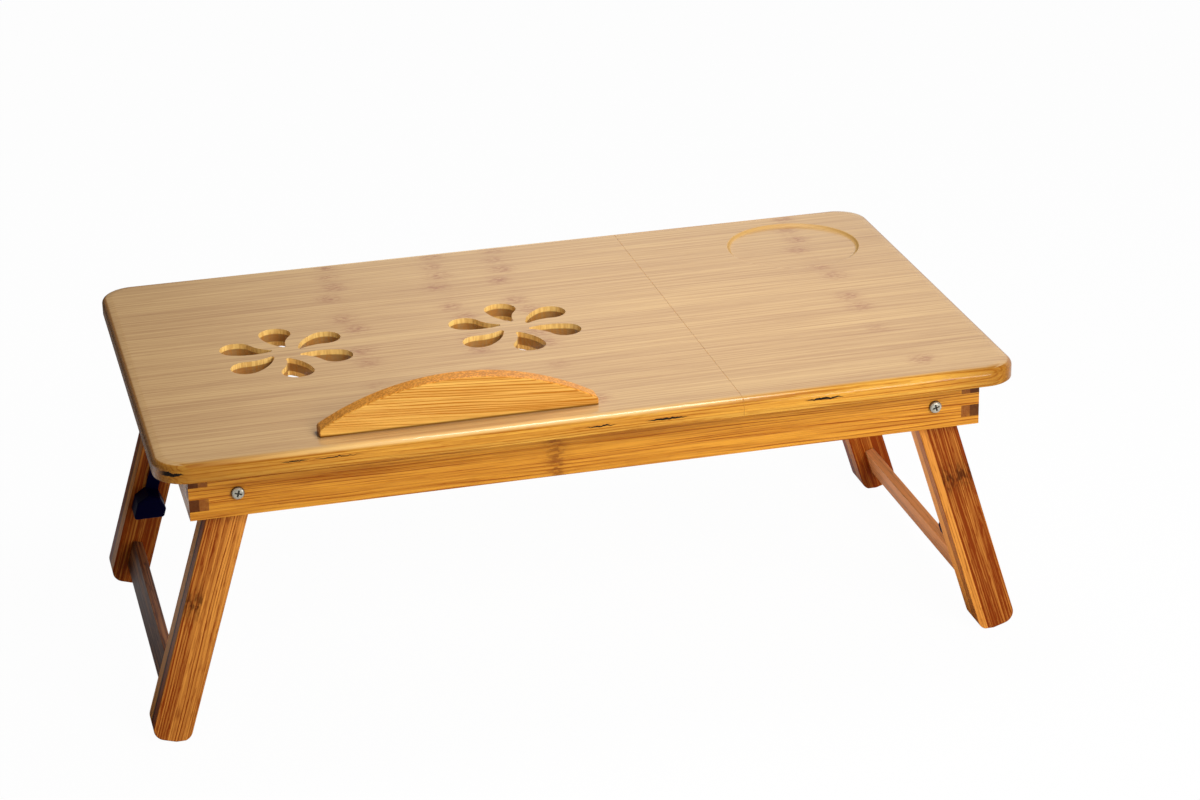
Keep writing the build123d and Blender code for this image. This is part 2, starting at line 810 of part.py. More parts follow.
def drawer_bottom_panel():
    """The thin bottom, held in grooves on all four sides."""
    reach = side_inside + drawer_bottom_groove
    x0 = drawer_back_x + drawer_side_thickness - drawer_bottom_groove
    return block(x0, end_inside + drawer_bottom_groove, -reach, reach,
                 bottom_low, bottom_low + drawer_bottom_thickness)


def make_drawer_side(side):
    """The near (-1) or far (1) side of the drawer."""
    y0, y1 = sorted((side * side_inside, side * drawer_half_width))
    return block(drawer_back_x, end_inside, y0, y1, drawer_low, drawer_high) - drawer_bottom_panel()


def make_drawer_back():
    """The back of the drawer, between its sides."""
    board = block(drawer_back_x, drawer_back_x + drawer_side_thickness, -side_inside, side_inside,
                  drawer_low, drawer_high)
    return board - drawer_bottom_panel()


def make_drawer_face():
    """The drawer's face, flush with the end rail."""
    board = block(end_inside, frame_x, -drawer_half_width, drawer_half_width, drawer_low, drawer_high)
    board -= rod("X", knob_screw_radius + seat_clearance, end_inside - overrun, frame_x + overrun, 0, knob_z)
    return board - drawer_bottom_panel()


def make_knob():
    """A small turned knob with a blind hole for its screw."""
    head_x = frame_x + knob_neck_length
    end_x = frame_x + knob_length
    head = rod("X", knob_radius, head_x, end_x, 0, knob_z)
    head = fillet(head.edges().filter_by(GeomType.CIRCLE), knob_round)
    knob = head + rod("X", knob_neck_radius, frame_x, head_x + knob_round, 0, knob_z)
    return knob - rod("X", knob_screw_radius + seat_clearance, frame_x, frame_x + knob_screw_depth, 0, knob_z)


def make_knob_screw():
    """The screw through the drawer's face into the knob, its flat head inside the drawer."""
    shank = rod("X", knob_screw_radius, end_inside, frame_x + knob_screw_depth - seat_clearance, 0, knob_z)
    head = rod("X", knob_screw_head_radius, end_inside - knob_screw_head_height, end_inside, 0, knob_z)
    return shank + head


def make_runner(side):
    """An angle strip that hangs from the fixed panel and carries one side of the drawer."""
    inner = runner_outside - runner_wall
    x0, x1 = drawer_back_x + drawer_side_thickness, end_inside
    top = drawer_low - drawer_gap
    y0, y1 = sorted((side * inner, side * runner_outside))
    web = block(x0, x1, y0, y1, top - runner_lip_thickness, panel_low)
    y0, y1 = sorted((side * (inner - runner_lip), side * runner_outside))
    return web + block(x0, x1, y0, y1, top - runner_lip_thickness, top)


# Gather the nodes

def add_frame():
    """Everything that stays still."""
    parts["front_rail"] = make_front_rail()
    parts["back_rail"] = make_long_rail(1)
    parts["left_end_rail"] = make_left_end_rail()
    parts["right_end_rail"] = make_right_end_rail()
    parts["center_rail"] = make_center_rail()
    parts["seam_batten"] = make_seam_batten()
    parts["rack_front_batten"], parts["rack_rear_batten"] = rack_battens()
    parts["prop_rack_left"] = make_rack(-1)
    parts["prop_rack_right"] = make_rack(1)
    parts["fixed_panel"] = make_fixed_panel()
    parts["panel_dowels"] = group(make_dowels())
    parts["drawer_near_runner"] = make_runner(-1)
    parts["drawer_far_runner"] = make_runner(1)
    parts["tilt_hinge_frame_leaves"] = group([make_hinge_leaf(x, -1) for x in hinge_xs])
    parts["tilt_hinge_pins"] = group(make_hinge_pins())
    parts["tilt_hinge_frame_screws"] = group(hinge_screws(-1))
    parts["left_lock_keeper"] = make_keeper()
    parts["right_lock_keeper"] = half_turn * make_keeper()
    parts["keeper_screws"] = group(keeper_screw_set(-1) + keeper_screw_set(1))


def add_tilting_top():
    """The tilting panel, what is fixed to it, and its prop."""
    parts["tilt_panel"] = make_tilt_panel()
    parts["book_stop"] = make_book_stop()
    parts["book_stop_screws"] = group(make_stop_screws())
    parts["tilt_hinge_panel_leaves"] = group([make_hinge_leaf(x, 1) for x in hinge_xs])
    parts["tilt_hinge_panel_screws"] = group(hinge_screws(1))
    parts["prop_brackets"] = group([make_bracket(side) for side in (-1, 1)])
    parts["prop_left_arm"] = make_prop_arm(-1)
    parts["prop_right_arm"] = make_prop_arm(1)
    parts["prop_foot_bar"] = prop_bar(prop_foot_radius, prop_foot_length, prop_foot_y)
    parts["prop_pivot_rod"] = prop_bar(prop_rod_radius, prop_rod_length, prop_pivot_y)


def add_leg_pair(name, turn):
    """One pair of legs; the right pair is the left one turned half round."""
    plain = turn * above_floor(on_left(leg_blank(-1)))
    locking = turn * above_floor(on_left(leg_blank(1) - lock_groove()))
    front, rear = (plain, locking) if name == "left" else (locking, plain)
    parts[name + "_front_leg"] = front
    parts[name + "_rear_leg"] = rear
    parts[name + "_stretcher"] = turn * on_left(stretcher_blank())
    parts[name + "_pivot_screws"] = group([turn * on_left(screw) for screw in make_pivot_screws()])
    parts[name + "_pivot_washers"] = group([turn * on_left(ring) for ring in make_pivot_washers()])
    parts[name + "_pivot_inserts"] = group([turn * on_left(sleeve) for sleeve in make_pivot_inserts()])
    parts[name + "_lock_slider"] = turn * on_left(make_slider())


def add_drawer():
    """The drawer in the right end."""
    parts["drawer_face"] = make_drawer_face()
    parts["drawer_near_side"] = make_drawer_side(-1)
    parts["drawer_far_side"] = make_drawer_side(1)
    parts["drawer_back"] = make_drawer_back()
    parts["drawer_bottom"] = drawer_bottom_panel()
    parts["drawer_knob"] = make_knob()
    parts["drawer_knob_screw"] = make_knob_screw()


add_frame()
add_tilting_top()
add_leg_pair("left", Rot(0, 0, 0))
add_leg_pair("right", half_turn)
add_drawer()

os.makedirs("parts", exist_ok=True)
for node, shape in parts.items():
    export_step(shape, f"parts/{node}.step")
print(f"splay {splay:.3f} degrees, leg length {leg_length:.2f}, pivot at {pivot_x:.2f}, {pivot_z:.2f}")
print(f"tilt axis at y {hinge_y:.2f}, z {hinge_z:.2f}; prop pivot at y {prop_pivot_y:.2f}, z {prop_z:.2f}")
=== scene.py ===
import json
import math
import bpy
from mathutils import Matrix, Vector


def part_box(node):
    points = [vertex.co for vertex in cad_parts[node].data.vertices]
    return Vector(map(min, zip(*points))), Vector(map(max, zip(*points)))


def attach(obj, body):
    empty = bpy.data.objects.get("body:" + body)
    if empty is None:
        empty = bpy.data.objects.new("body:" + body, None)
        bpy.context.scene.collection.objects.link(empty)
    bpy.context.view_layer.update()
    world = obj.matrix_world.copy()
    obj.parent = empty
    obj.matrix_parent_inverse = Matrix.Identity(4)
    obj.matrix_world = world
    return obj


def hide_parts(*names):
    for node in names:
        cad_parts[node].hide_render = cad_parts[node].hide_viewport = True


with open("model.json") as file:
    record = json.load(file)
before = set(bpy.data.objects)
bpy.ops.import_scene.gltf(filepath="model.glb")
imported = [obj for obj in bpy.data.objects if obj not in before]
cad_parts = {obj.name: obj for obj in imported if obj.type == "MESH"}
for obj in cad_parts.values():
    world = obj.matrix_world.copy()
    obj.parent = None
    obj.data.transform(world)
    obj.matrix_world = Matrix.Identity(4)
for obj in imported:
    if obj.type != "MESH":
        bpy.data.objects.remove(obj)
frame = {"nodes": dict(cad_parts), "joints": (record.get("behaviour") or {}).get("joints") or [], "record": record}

from types import SimpleNamespace

import bmesh
import bpy
from bpy.props import FloatProperty, FloatVectorProperty, PointerProperty
from mathutils import Matrix, Vector

bl_info = {
    "name": "Folding Bed Desk Finish",
    "version": (1, 0, 0),
    "blender": (4, 5, 0),
    "location": "View3D > Sidebar > Bed Desk",
    "description": "Dresses a folding bamboo bed desk in lacquer, metal and plastic",
    "category": "Material",
}

# Directions, the mug well's place, and what the frame tells

X = Vector((1, 0, 0))
Y = Vector((0, 1, 0))
Z = Vector((0, 0, 1))
WELL_FROM_CORNER = Vector((0.0696, 0.0655, 0))
WELL_RIM = 0.0462

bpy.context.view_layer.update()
joints = {joint["name"]: joint for joint in frame["joints"]}
body_of = {node: body for body, nodes in frame["record"]["behaviour"]["bodies"].items() for node in nodes}
panel_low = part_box("tilt_panel")[0].z
panel_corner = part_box("fixed_panel")[1]
panel_top = panel_corner.z
well_middle = panel_corner - WELL_FROM_CORNER
seam_x = (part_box("tilt_panel")[1].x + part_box("fixed_panel")[0].x) / 2
rail_foot = Vector((0, 0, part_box("front_rail")[0].z))
leg_up = {side: Vector(joints[side + "_lock_slide"]["axis"]) for side in ("left", "right")}
leg_pivot = {side: Vector(joints[side + "_fold"]["pos_m"]) for side in ("left", "right")}


# Settings

def tint(name, description, default):
    """A colour that a user can change."""
    return FloatVectorProperty(name=name, description=description, default=default,
                               subtype="COLOR", size=3, min=0, max=1)


def length(name, description, default):
    """A length in metres that a user can change."""
    return FloatProperty(name=name, description=description, default=default, min=0, unit="LENGTH")


def share(name, description, default):
    """A strength from none to full that a user can change."""
    return FloatProperty(name=name, description=description, default=default, min=0, max=1, subtype="FACTOR")


def power(name, description, default):
    """A light's power in watts that a user can change."""
    return FloatProperty(name=name, description=description, default=default, min=0, unit="POWER")


LOOK_FIELDS = {
    "pale": (tint, "Pale fibre", "Colour of the lightest fibres"),
    "deep": (tint, "Deep fibre", "Colour of the darkest fibres"),
    "end": (tint, "End grain", "Colour where the fibres are cut across"),
    "mark": (tint, "Node mark", "Colour of the growth nodes of the culm"),
    "strip": (length, "Strip width", "Width of one glued strip"),
    "pitch": (length, "Line pitch", "Distance between the thin dark lines"),
    "streak": (share, "Streaks", "Contrast of the broad streaks"),
    "fibre": (share, "Fibres", "Contrast of the fine fibres"),
    "line": (share, "Lines", "Contrast of the thin dark lines"),
    "dash": (share, "Dashes", "Contrast of the short dark dashes"),
    "strips": (share, "Strips", "How much one strip differs from the next"),
    "roughness": (share, "Roughness", "How dull the lacquer is"),
    "gloss": (share, "Gloss", "How much the lacquer mirrors"),
}


def bamboo_look(title, **defaults):
    """A property group for one stain of bamboo, with the fields that it has defaults for."""
    fields = {name: kind(label, description, defaults[name])
              for name, (kind, label, description) in LOOK_FIELDS.items() if name in defaults}
    return type(title, (bpy.types.PropertyGroup,), {"__annotations__": fields})


TopLook = bamboo_look(
    "BEDDESK_top_look", pale=(0.675, 0.430, 0.183), deep=(0.385, 0.195, 0.077), end=(0.46, 0.24, 0.06),
    mark=(0.33, 0.125, 0.05), strip=0.0205, pitch=0.0062, streak=0.18, fibre=0.34, line=0.22, dash=0.10,
    strips=0.18, roughness=0.17, gloss=0.46)
EdgeLook = bamboo_look(
    "BEDDESK_edge_look", pale=(0.86, 0.46, 0.070), deep=(0.42, 0.14, 0.010), end=(0.70, 0.32, 0.050),
    strip=0.0205, pitch=0.0021, streak=0.25, fibre=0.40, line=0.80, dash=0.25, strips=0.15)
StopLook = bamboo_look(
    "BEDDESK_stop_look", pale=(0.98, 0.56, 0.12), deep=(0.52, 0.17, 0.010), end=(0.80, 0.32, 0.04),
    strip=0.0100, pitch=0.0017, streak=0.20, fibre=0.40, line=0.90, dash=0.10, strips=0.15,
    roughness=0.26, gloss=0.25)
RailLook = bamboo_look(
    "BEDDESK_rail_look", pale=(0.76, 0.33, 0.030), deep=(0.34, 0.085, 0.003), end=(0.28, 0.09, 0.012),
    mark=(0.20, 0.045, 0.003), strip=0.0110, pitch=0.0022, streak=0.34, fibre=0.50, line=0.90, dash=0.16,
    strips=0.18, roughness=0.28, gloss=0.25)
LegLook = bamboo_look(
    "BEDDESK_leg_look", pale=(0.70, 0.275, 0.045), deep=(0.22, 0.034, 0.002), end=(0.22, 0.06, 0.008),
    mark=(0.05, 0.010, 0.001), pitch=0.0017, streak=0.17, fibre=0.60, line=0.80, dash=0.40, strips=0.10,
    roughness=0.42, gloss=0.07)
StretcherLook = bamboo_look(
    "BEDDESK_stretcher_look", pale=(0.74, 0.32, 0.12), deep=(0.10, 0.034, 0.017), end=(0.20, 0.07, 0.02),
    strip=0.0090, pitch=0.0021, streak=0.30, fibre=0.35, line=0.30, dash=0.20, strips=0.20,
    roughness=0.40, gloss=0.06)
InnerLook = bamboo_look(
    "BEDDESK_inner_look", pale=(0.70, 0.40, 0.12), deep=(0.42, 0.19, 0.04), end=(0.32, 0.13, 0.03),
    strip=0.0120, pitch=0.0021, streak=0.35, fibre=0.45, line=0.45, dash=0.15, strips=0.40,
    roughness=0.40, gloss=0.3)
DrawerLook = bamboo_look(
    "BEDDESK_drawer_look", pale=(0.74, 0.43, 0.13), deep=(0.45, 0.20, 0.04), end=(0.34, 0.14, 0.03),
    strip=0.0150, pitch=0.0021, streak=0.35, fibre=0.40, line=0.45, dash=0.15, strips=0.35,
    roughness=0.36, gloss=0.3)


class BEDDESK_panel_details(bpy.types.PropertyGroup):
    """Details of the two panels of the top."""
    ply: length("Ply", "Thickness of one ply of the panels", 0.004)
    core: tint("Core ply", "Colour that darkens the middle ply on cut edges", (1.0, 0.92, 0.80))
    # The crest colour is a painted highlight along the upper edge of the panels' cut edges
    crest: tint("Crest", "Lacquer worn pale along the upper edge", (0.92, 0.62, 0.27))
    flaw: tint("Glue flaw", "Colour of the open glue line in the panel's edge", (0.012, 0.006, 0.003))
    vent_wall: tint("Vent wall", "Colour of the outer plies where the vents are cut", (1.0, 0.67, 0.21))
    # The vent core colour is partly the middle ply's own colour and partly painted shade inside the vents
    vent_core_and_shade: tint("Vent core", "Colour of the middle ply where the vents are cut", (0.32, 0.175, 0.06))
    well_tint: tint("Well", "Lacquer pooled along the wall of the mug well", (0.56, 0.32, 0.085))
    rim_round: length("Rim", "Rounding of the vents' rims", 0.0006)


class BEDDESK_hardware_look(bpy.types.PropertyGroup):
    """Colours of the metal and plastic parts."""
    nickel: tint("Nickel", "Plated screws", (0.86, 0.82, 0.68))
    brass: tint("Brass", "Hinges and threaded inserts", (0.76, 0.53, 0.22))
    steel: tint("Steel", "Keepers and pivot rod", (0.56, 0.57, 0.58))
    # The grime colour is real dirt on the metals' clouds and the nylon's rubbed spots, and painted shade in and
    # round the pivot screw heads
    grime: tint("Grime", "Dirt left in recesses", (0.06, 0.05, 0.04))
    lock: tint("Lock", "Plastic of the leg locks", (0.0005, 0.0004, 0.018))
    nylon: tint("Nylon", "Pivot washers", (0.80, 0.78, 0.72))
    board: tint("Board", "Thin bottom of the drawer", (0.52, 0.33, 0.17))


class BEDDESK_edge_sizes(bpy.types.PropertyGroup):
    """How far the edges of the pieces are eased."""
    rail: length("Rails", "Rounding of the rails", 0.0007)
    leg: length("Legs", "Rounding of the legs", 0.0010)
    small: length("Small pieces", "Rounding of stretchers, battens and drawer boards", 0.0006)
    metal: length("Metal", "Rounding of the lock keepers", 0.0002)


class BEDDESK_stage(bpy.types.PropertyGroup):
    """The camera, the floor and the lights."""
    target: FloatVectorProperty(name="Target", description="Point in the middle of the picture",
                                default=(0.1206, 0.3320, 0), subtype="XYZ", unit="LENGTH")
    distance: length("Distance", "From the camera to the target", 2.4536)
    yaw: FloatProperty(name="Yaw", description="How far the camera looks to the right of +Y",
                       default=math.radians(13.837), subtype="ANGLE")
    pitch: FloatProperty(name="Pitch", description="How far the camera looks down",
                         default=math.radians(22.536), subtype="ANGLE")
    roll: FloatProperty(name="Roll", description="How far the camera leans",
                        default=math.radians(-1.434), subtype="ANGLE")
    lens: FloatProperty(name="Lens", description="Focal length on a 36 mm wide sensor",
                        default=93.063, unit="CAMERA")
    floor: tint("Floor", "Colour of the floor", (0.88, 0.88, 0.88))
    glow: share("White floor", "How much of the floor's shade is taken off for the camera", 0.975)
    gloss: share("White gloss", "How white the floor behind the desk is in reflections", 0.60)
    key: power("Key light", "Power of the large light in front", 23.5)
    spark: power("Spark light", "Power of the low light in front, for glints on the screws", 1.6)
    top: power("Top light", "Power of the light overhead", 2.6)
    bounce: power("Bounce light", "Power of what the floor throws up under the desk", 0.40)


class BEDDESK_settings(bpy.types.PropertyGroup):
    """Everything that a user would change."""
    top: PointerProperty(type=TopLook)
    edge: PointerProperty(type=EdgeLook)
    stop: PointerProperty(type=StopLook)
    rail: PointerProperty(type=RailLook)
    leg: PointerProperty(type=LegLook)
    stretcher: PointerProperty(type=StretcherLook)
    inner: PointerProperty(type=InnerLook)
    drawer: PointerProperty(type=DrawerLook)
    panel: PointerProperty(type=BEDDESK_panel_details)
    hardware: PointerProperty(type=BEDDESK_hardware_look)
    edges: PointerProperty(type=BEDDESK_edge_sizes)
    stage: PointerProperty(type=BEDDESK_stage)


# Shader maths; the numbers are sockets of the Mix node

MIX_COLOURS = (6, 7)
MIX_RESULT = 2


class Wire:
    """A shader socket that takes part in arithmetic; every operation adds a node."""

    def __init__(self, tree, socket=None):
        self.tree = tree
        self.socket = socket

    def add(self, kind, settings=None, inputs=None, output=0):
        """Add a node of one type, apply its settings, feed its inputs and return one of its outputs."""
        node = self.tree.nodes.new(kind)
        for name, value in (settings or {}).items():
            setattr(node, name, value)
        for name, value in (inputs or {}).items():
            if isinstance(value, Wire):
                self.tree.links.new(value.socket, node.inputs[name])
            else:
                node.inputs[name].default_value = value
        return Wire(self.tree, node.outputs[output] if node.outputs else None)

    def math(self, operation, *values):
        """A Math node."""
        return self.add("ShaderNodeMath", {"operation": operation}, dict(enumerate(values)))

    def __add__(self, other):
        return self.math("ADD", self, other)

    def __sub__(self, other):
        return self.math("SUBTRACT", self, other)

    def __mul__(self, other):
        return self.math("MULTIPLY", self, other)

    def __truediv__(self, other):
        return self.math("DIVIDE", self, other)

    def __pow__(self, other):
        return self.math("POWER", self, other)

    def __rsub__(self, other):
        return self.math("SUBTRACT", other, self)

    def __rpow__(self, other):
        return self.math("POWER", other, self)

    def __neg__(self):
        return self.math("MULTIPLY", self, -1)

    def __abs__(self):
        return self.math("ABSOLUTE", self)

    def __floor__(self):
        return self.math("FLOOR", self)

    __radd__ = __add__
    __rmul__ = __mul__

    def fraction(self):
        """What is left above the whole number."""
        return self.math("FRACT", self)

    def larger(self, other):
        """The larger of two values."""
        return self.math("MAXIMUM", self, other)

    def step(self, low, high):
        """A smooth rise from 0 at low to 1 at high."""
        settings = {"interpolation_type": "SMOOTHSTEP"}
        return self.add("ShaderNodeMapRange", settings, {"Value": self, "From Min": low, "From Max": high})

    def hump(self, middle, width):
        """A bell curve round one value."""
        away = (self - middle) / width
        return math.e ** -(away * away)

    def along(self, direction):
        """How far a vector reaches along a direction."""
        return self.add("ShaderNodeVectorMath", {"operation": "DOT_PRODUCT"},
                        {0: self, 1: tuple(direction)}, "Value")

    def position(self):
        """Where a point lies along X, Y and Z."""
        spot = self.add("ShaderNodeTexCoord", output="Object")
        return [spot.along(axis) for axis in (X, Y, Z)]

    def vector(self, x, y, z):
        """A vector from three values."""
        return self.add("ShaderNodeCombineXYZ", None, {0: x, 1: y, 2: z})

    def noise(self, x, y, z, detail=2.0):
        """Smooth noise with one feature per unit."""
        inputs = {"Vector": self.vector(x, y, z), "Scale": 1.0, "Detail": detail}
        return self.add("ShaderNodeTexNoise", None, inputs)

    def cells(self, x, y, z):
        """Distance to the nearest of scattered points, one per unit."""
        return self.add("ShaderNodeTexVoronoi", None, {"Vector": self.vector(x, y, z), "Scale": 1.0})

    def chance(self, x, y, z):
        """A value from 0 to 1 that differs for every whole number."""
        return self.add("ShaderNodeTexWhiteNoise", None, {"Vector": self.vector(x, y, z)})

    def mix(self, first, second, factor, blend="MIX"):
        """A blend of two colours, each given as a wire or as three numbers."""
        settings = {"data_type": "RGBA", "blend_type": blend, "clamp_factor": True}
        inputs = {0: factor}
        for index, colour in zip(MIX_COLOURS, (first, second)):
            inputs[index] = colour if isinstance(colour, Wire) else (*colour, 1)
        return self.add("ShaderNodeMix", settings, inputs, MIX_RESULT)

    def bump(self, height, strength, distance):
        """A normal that follows a height."""
        inputs = {"Height": height, "Strength": strength, "Distance": distance}
        return self.add("ShaderNodeBump", None, inputs)


def scaled(place, counts):
    """A place counted in features per metre along each of its axes."""
    return [axis * count for axis, count in zip(place, counts)]


def shaded(colour, amount):
    """A plain colour made darker or lighter."""
    return tuple(amount * part for part in colour)


def new_material(name):
    """An empty node material and a wire to start from."""
    material = bpy.data.materials.new(name)
    material.use_nodes = True
    material.node_tree.nodes.clear()
    return material, Wire(material.node_tree)


def close_material(material, inputs):
    """End a material in one principled surface."""
    wire = Wire(material.node_tree)
    surface = wire.add("ShaderNodeBsdfPrincipled", None, inputs)
    wire.add("ShaderNodeOutputMaterial", None, {"Surface": surface})
    return material


# Bamboo

ORIGIN = Vector((0, 0, 0))
GLUE_LINE = 0.0004

# Features per metre along the fibres, across them and through the board
FIBRES = (11, 620, 620)
STREAKS = (3.2, 210, 210)
DRIFTS = (2, 34, 34)
WOBBLES = (5, 90, 90)
BREAKS = (8, 210, 210)
DASHES = (90, 640, 640)
BUNDLES = (22, 950, 950)
CRUMBS = (240, 560, 560)
GRIT = (720, 720, 720)

# From where to where a pattern rises to full
FIBRE_RISE = (0.32, 0.68)
LINE_RISE = (0.28, 0.46)
BREAK_RISE = (0.30, 0.62)
DASH_RISE = (0.52, 0.66)
PORE_RISE = (0.12, 0.42)
END_RISE = (0.35, 0.80)
OPEN_SEAM_RISE = (0.35, 0.90)
CRUMB_RISE = (0.42, 0.60)
GRIT_RISE = (0.40, 0.56)

# How far a pattern shifts the tone
MIDDLE_TONE = 0.62
STREAK_TONE = 2.6
DRIFT_TONE = 1.4
LINE_TONE = 0.8
DASH_TONE = 0.7
PORE_TONE = 0.2

STREAK_DETAIL = 3.0
STRIP_SHIFT = 5
OTHER_LUCK = 7.0
WANDER = 0.0084


def grain(wire, look, along, across, seed, origin=ORIGIN, split=None):
    """Strips of bamboo side by side: where a point lies in them, and how light its fibres are."""
    spot = wire.add("ShaderNodeTexCoord", output="Object")
    facing = wire.add("ShaderNodeTexCoord", output="Normal")
    axes = (along, across, along.cross(across))
    u, v, w = (spot.along(axis) - Vector(origin).dot(axis) for axis in axes)
    if split is None:
        strip = math.floor(v / look.strip)
        seam = abs((v / look.strip).fraction() - 0.5).step(0.5 - GLUE_LINE / look.strip, 0.5)
    else:
        strip = wire.math("GREATER_THAN", v, split)
        seam = 1 - abs(v - split).step(0, GLUE_LINE)
    luck = wire.chance(strip, seed, 0.0)
    other_luck = wire.chance(strip, seed, OTHER_LUCK)
    place = (u + STRIP_SHIFT * luck + seed, v, w)
    fibre = wire.noise(*scaled(place, FIBRES)).step(*FIBRE_RISE)
    streak = wire.noise(*scaled(place, STREAKS), STREAK_DETAIL)
    drift = wire.noise(*scaled(place, DRIFTS))
    wobble = wire.noise(*scaled(place, WOBBLES))
    rings = abs(((v + w + wobble * WANDER) / look.pitch).fraction() - 0.5).step(*LINE_RISE)
    line = rings * wire.noise(*scaled(place, BREAKS)).step(*BREAK_RISE)
    dash = wire.noise(*scaled(place, DASHES)).step(*DASH_RISE)
    pores = 1 - wire.cells(*scaled(place, BUNDLES)).step(*PORE_RISE)
    tone = MIDDLE_TONE + (fibre - 0.5) * look.fibre + (streak - 0.5) * (STREAK_TONE * look.streak)
    tone = tone + (drift - 0.5) * (DRIFT_TONE * look.streak) + (luck - 0.5) * look.strips
    tone = tone - line * (LINE_TONE * look.line) - dash * (DASH_TONE * look.dash)
    tone = tone - pores * (PORE_TONE * look.fibre)
    return SimpleNamespace(u=u, v=v, w=w, facing=facing, ends=abs(facing.along(along)).step(*END_RISE),
                           strip=strip, seam=seam * other_luck.step(*OPEN_SEAM_RISE), luck=luck,
                           other_luck=other_luck, streak=streak, fibre=fibre, pores=pores, tone=tone)


MARK_DEPTH = 0.7
MARK_REACH = 0.0062
MARK_JUMP = 0.012
MARK_LEAST = 0.3
SEAM_DEPTH = 0.35
END_SHADE = 0.7
END_PORES = 0.3
END_GRIT = 0.60
END_STREAK = 0.9


def dye(wire, look, board, marks=(), where=MARK_DEPTH, reach=MARK_REACH):
    """Give a grain its colour, with node marks at some places along it."""
    colour = wire.mix(look.deep, look.pale, board.tone)
    colour = wire.mix(colour, look.deep, board.seam * SEAM_DEPTH)
    place = (board.u, board.v, board.w)
    if marks:
        crumbs = wire.noise(*scaled(place, CRUMBS)).step(*CRUMB_RISE)
        knots = 0.0
        for mark in marks:
            knots = board.u.hump(mark + MARK_JUMP * (board.luck - 0.5), reach).larger(knots)
        colour = wire.mix(colour, look.mark, knots * (MARK_LEAST + (1 - MARK_LEAST) * crumbs) * where)
    grit = wire.noise(*scaled(place, GRIT)).step(*GRIT_RISE)
    cut = wire.mix(look.end, shaded(look.deep, END_SHADE), board.pores * END_PORES + grit * END_GRIT)
    cut = wire.mix(cut, look.pale, (board.streak - 0.5) * END_STREAK)
    board.colour = wire.mix(colour, cut, board.ends)
    return board


LACQUER_IOR = 1.5
RELIEF = 0.10
RELIEF_DEPTH = 0.0004
FIBRE_RELIEF = 0.6
PORE_RELIEF = 0.5
SEAM_RELIEF = 0.8
STREAK_ROUGH = 0.16
END_ROUGH = 0.14


def lacquer(wire, material, look, board, relief=RELIEF, dull=0.0):
    """Close a bamboo material under clear lacquer, duller in places."""
    height = board.fibre * FIBRE_RELIEF - board.pores * PORE_RELIEF - board.seam * SEAM_RELIEF
    rough = look.roughness + dull + (board.streak - 0.5) * STREAK_ROUGH + board.ends * END_ROUGH
    normal = wire.bump(height, relief, RELIEF_DEPTH)
    return close_material(material, {"Base Color": board.colour, "Roughness": rough, "IOR": LACQUER_IOR,
                                     "Specular IOR Level": look.gloss, "Normal": normal})


def bamboo(name, look, along, across, seed, origin=ORIGIN, tone=0.0):
    """A lacquered bamboo material for one board, which can be lighter or darker than its kind."""
    material, wire = new_material(name)
    board = grain(wire, look, along, across, seed, origin)
    board.tone = board.tone + tone
    return lacquer(wire, material, look, dye(wire, look, board))


# Panels; heights in their edges count plies from below

TOP_SEED = 0.0
TOP_MARKS = (-0.120, -0.046, -0.002, 0.213)
TOP_MARK_DEPTH = 0.80
TOP_MARK_REACH = 0.0080
TOP_MARK_WIDTH = 0.40
TOP_MARK_RISE = (0.30, 0.70)
TOP_RELIEF = 0.06
LEVEL_RISE = (0.90, 0.998)
FALL_RISE = (0.0001, 0.0006)
UNDERSIDE_RISE = (0.0002, 0.0006)
SIDE_DROP = 0.0006
SIDE_RISE = (0.04, 0.10)
SEAM_REACH = 0.001
SEAM_RISE = (0.5, 0.9)
WELL_DEPTH = 0.7
WELL_DULL = 0.35
RIM_SHINE = 0.04

PANEL_BORDER = 0.012
EDGE_SEEDS = (0.5, 0.9)
CORE_FOOT = (0.72, 0.84)
CORE_HEAD = (2.05, 2.20)
# The cut edges darker towards the left and right ends of the top: their colour, and how far and how strongly at
# each end
ENDS_DARK_TONE = 0.6
LEFT_DARK_REACH = 0.15
LEFT_DEPTH = 0.62
RIGHT_DARK_REACH = 0.07
RIGHT_DEPTH = 0.70
# Painted highlight along the crest of the cut edges: where it rises, where it fades out to the right, and its
# strength
CREST_RISE = (2.30, 2.70)
CREST_END = (0.0, 0.16)
CREST_DEPTH = 0.7

VENT_FLECKS = (700, 700, 90)
VENT_FLECK_RISE = (0.40, 0.62)
VENT_FLECK_DEPTH = 0.40
VENT_DEPTH = 0.85

RAGS = (240, 240)
RAG_DETAIL = 3.0
RAG_REACH = 0.7
SLIT_EDGE = 0.04
FLAWS = (
    SimpleNamespace(place=-0.268, half=0.0100, height=1.55, thick=0.36),
    SimpleNamespace(place=-0.191, half=0.0090, height=1.70, thick=0.11),
    SimpleNamespace(place=-0.165, half=0.0150, height=1.62, thick=0.08),
    SimpleNamespace(place=-0.001, half=0.0100, height=1.35, thick=0.12),
    SimpleNamespace(place=0.0415, half=0.0140, height=1.25, thick=0.17),
    SimpleNamespace(place=0.1435, half=0.0130, height=1.43, thick=0.19),
)


def open_glue(wire, face, height):
    """Where glue lines stand open in the front edge."""
    ragged = wire.noise(*scaled((face.u, face.v), RAGS), 0.0, RAG_DETAIL)
    slits = 0.0
    for flaw in FLAWS:
        away = abs(face.u - flaw.place) / flaw.half
        taper = (1 - away * away) * (0.5 + ragged)
        gap = abs(height - flaw.height - (ragged - 0.5) * RAG_REACH) - taper * flaw.thick
        slits = (1 - gap.step(-SLIT_EDGE, SLIT_EDGE)).larger(slits)
    return slits * face.v.step(PANEL_BORDER - panel_corner.y, PANEL_BORDER / 2 - panel_corner.y)


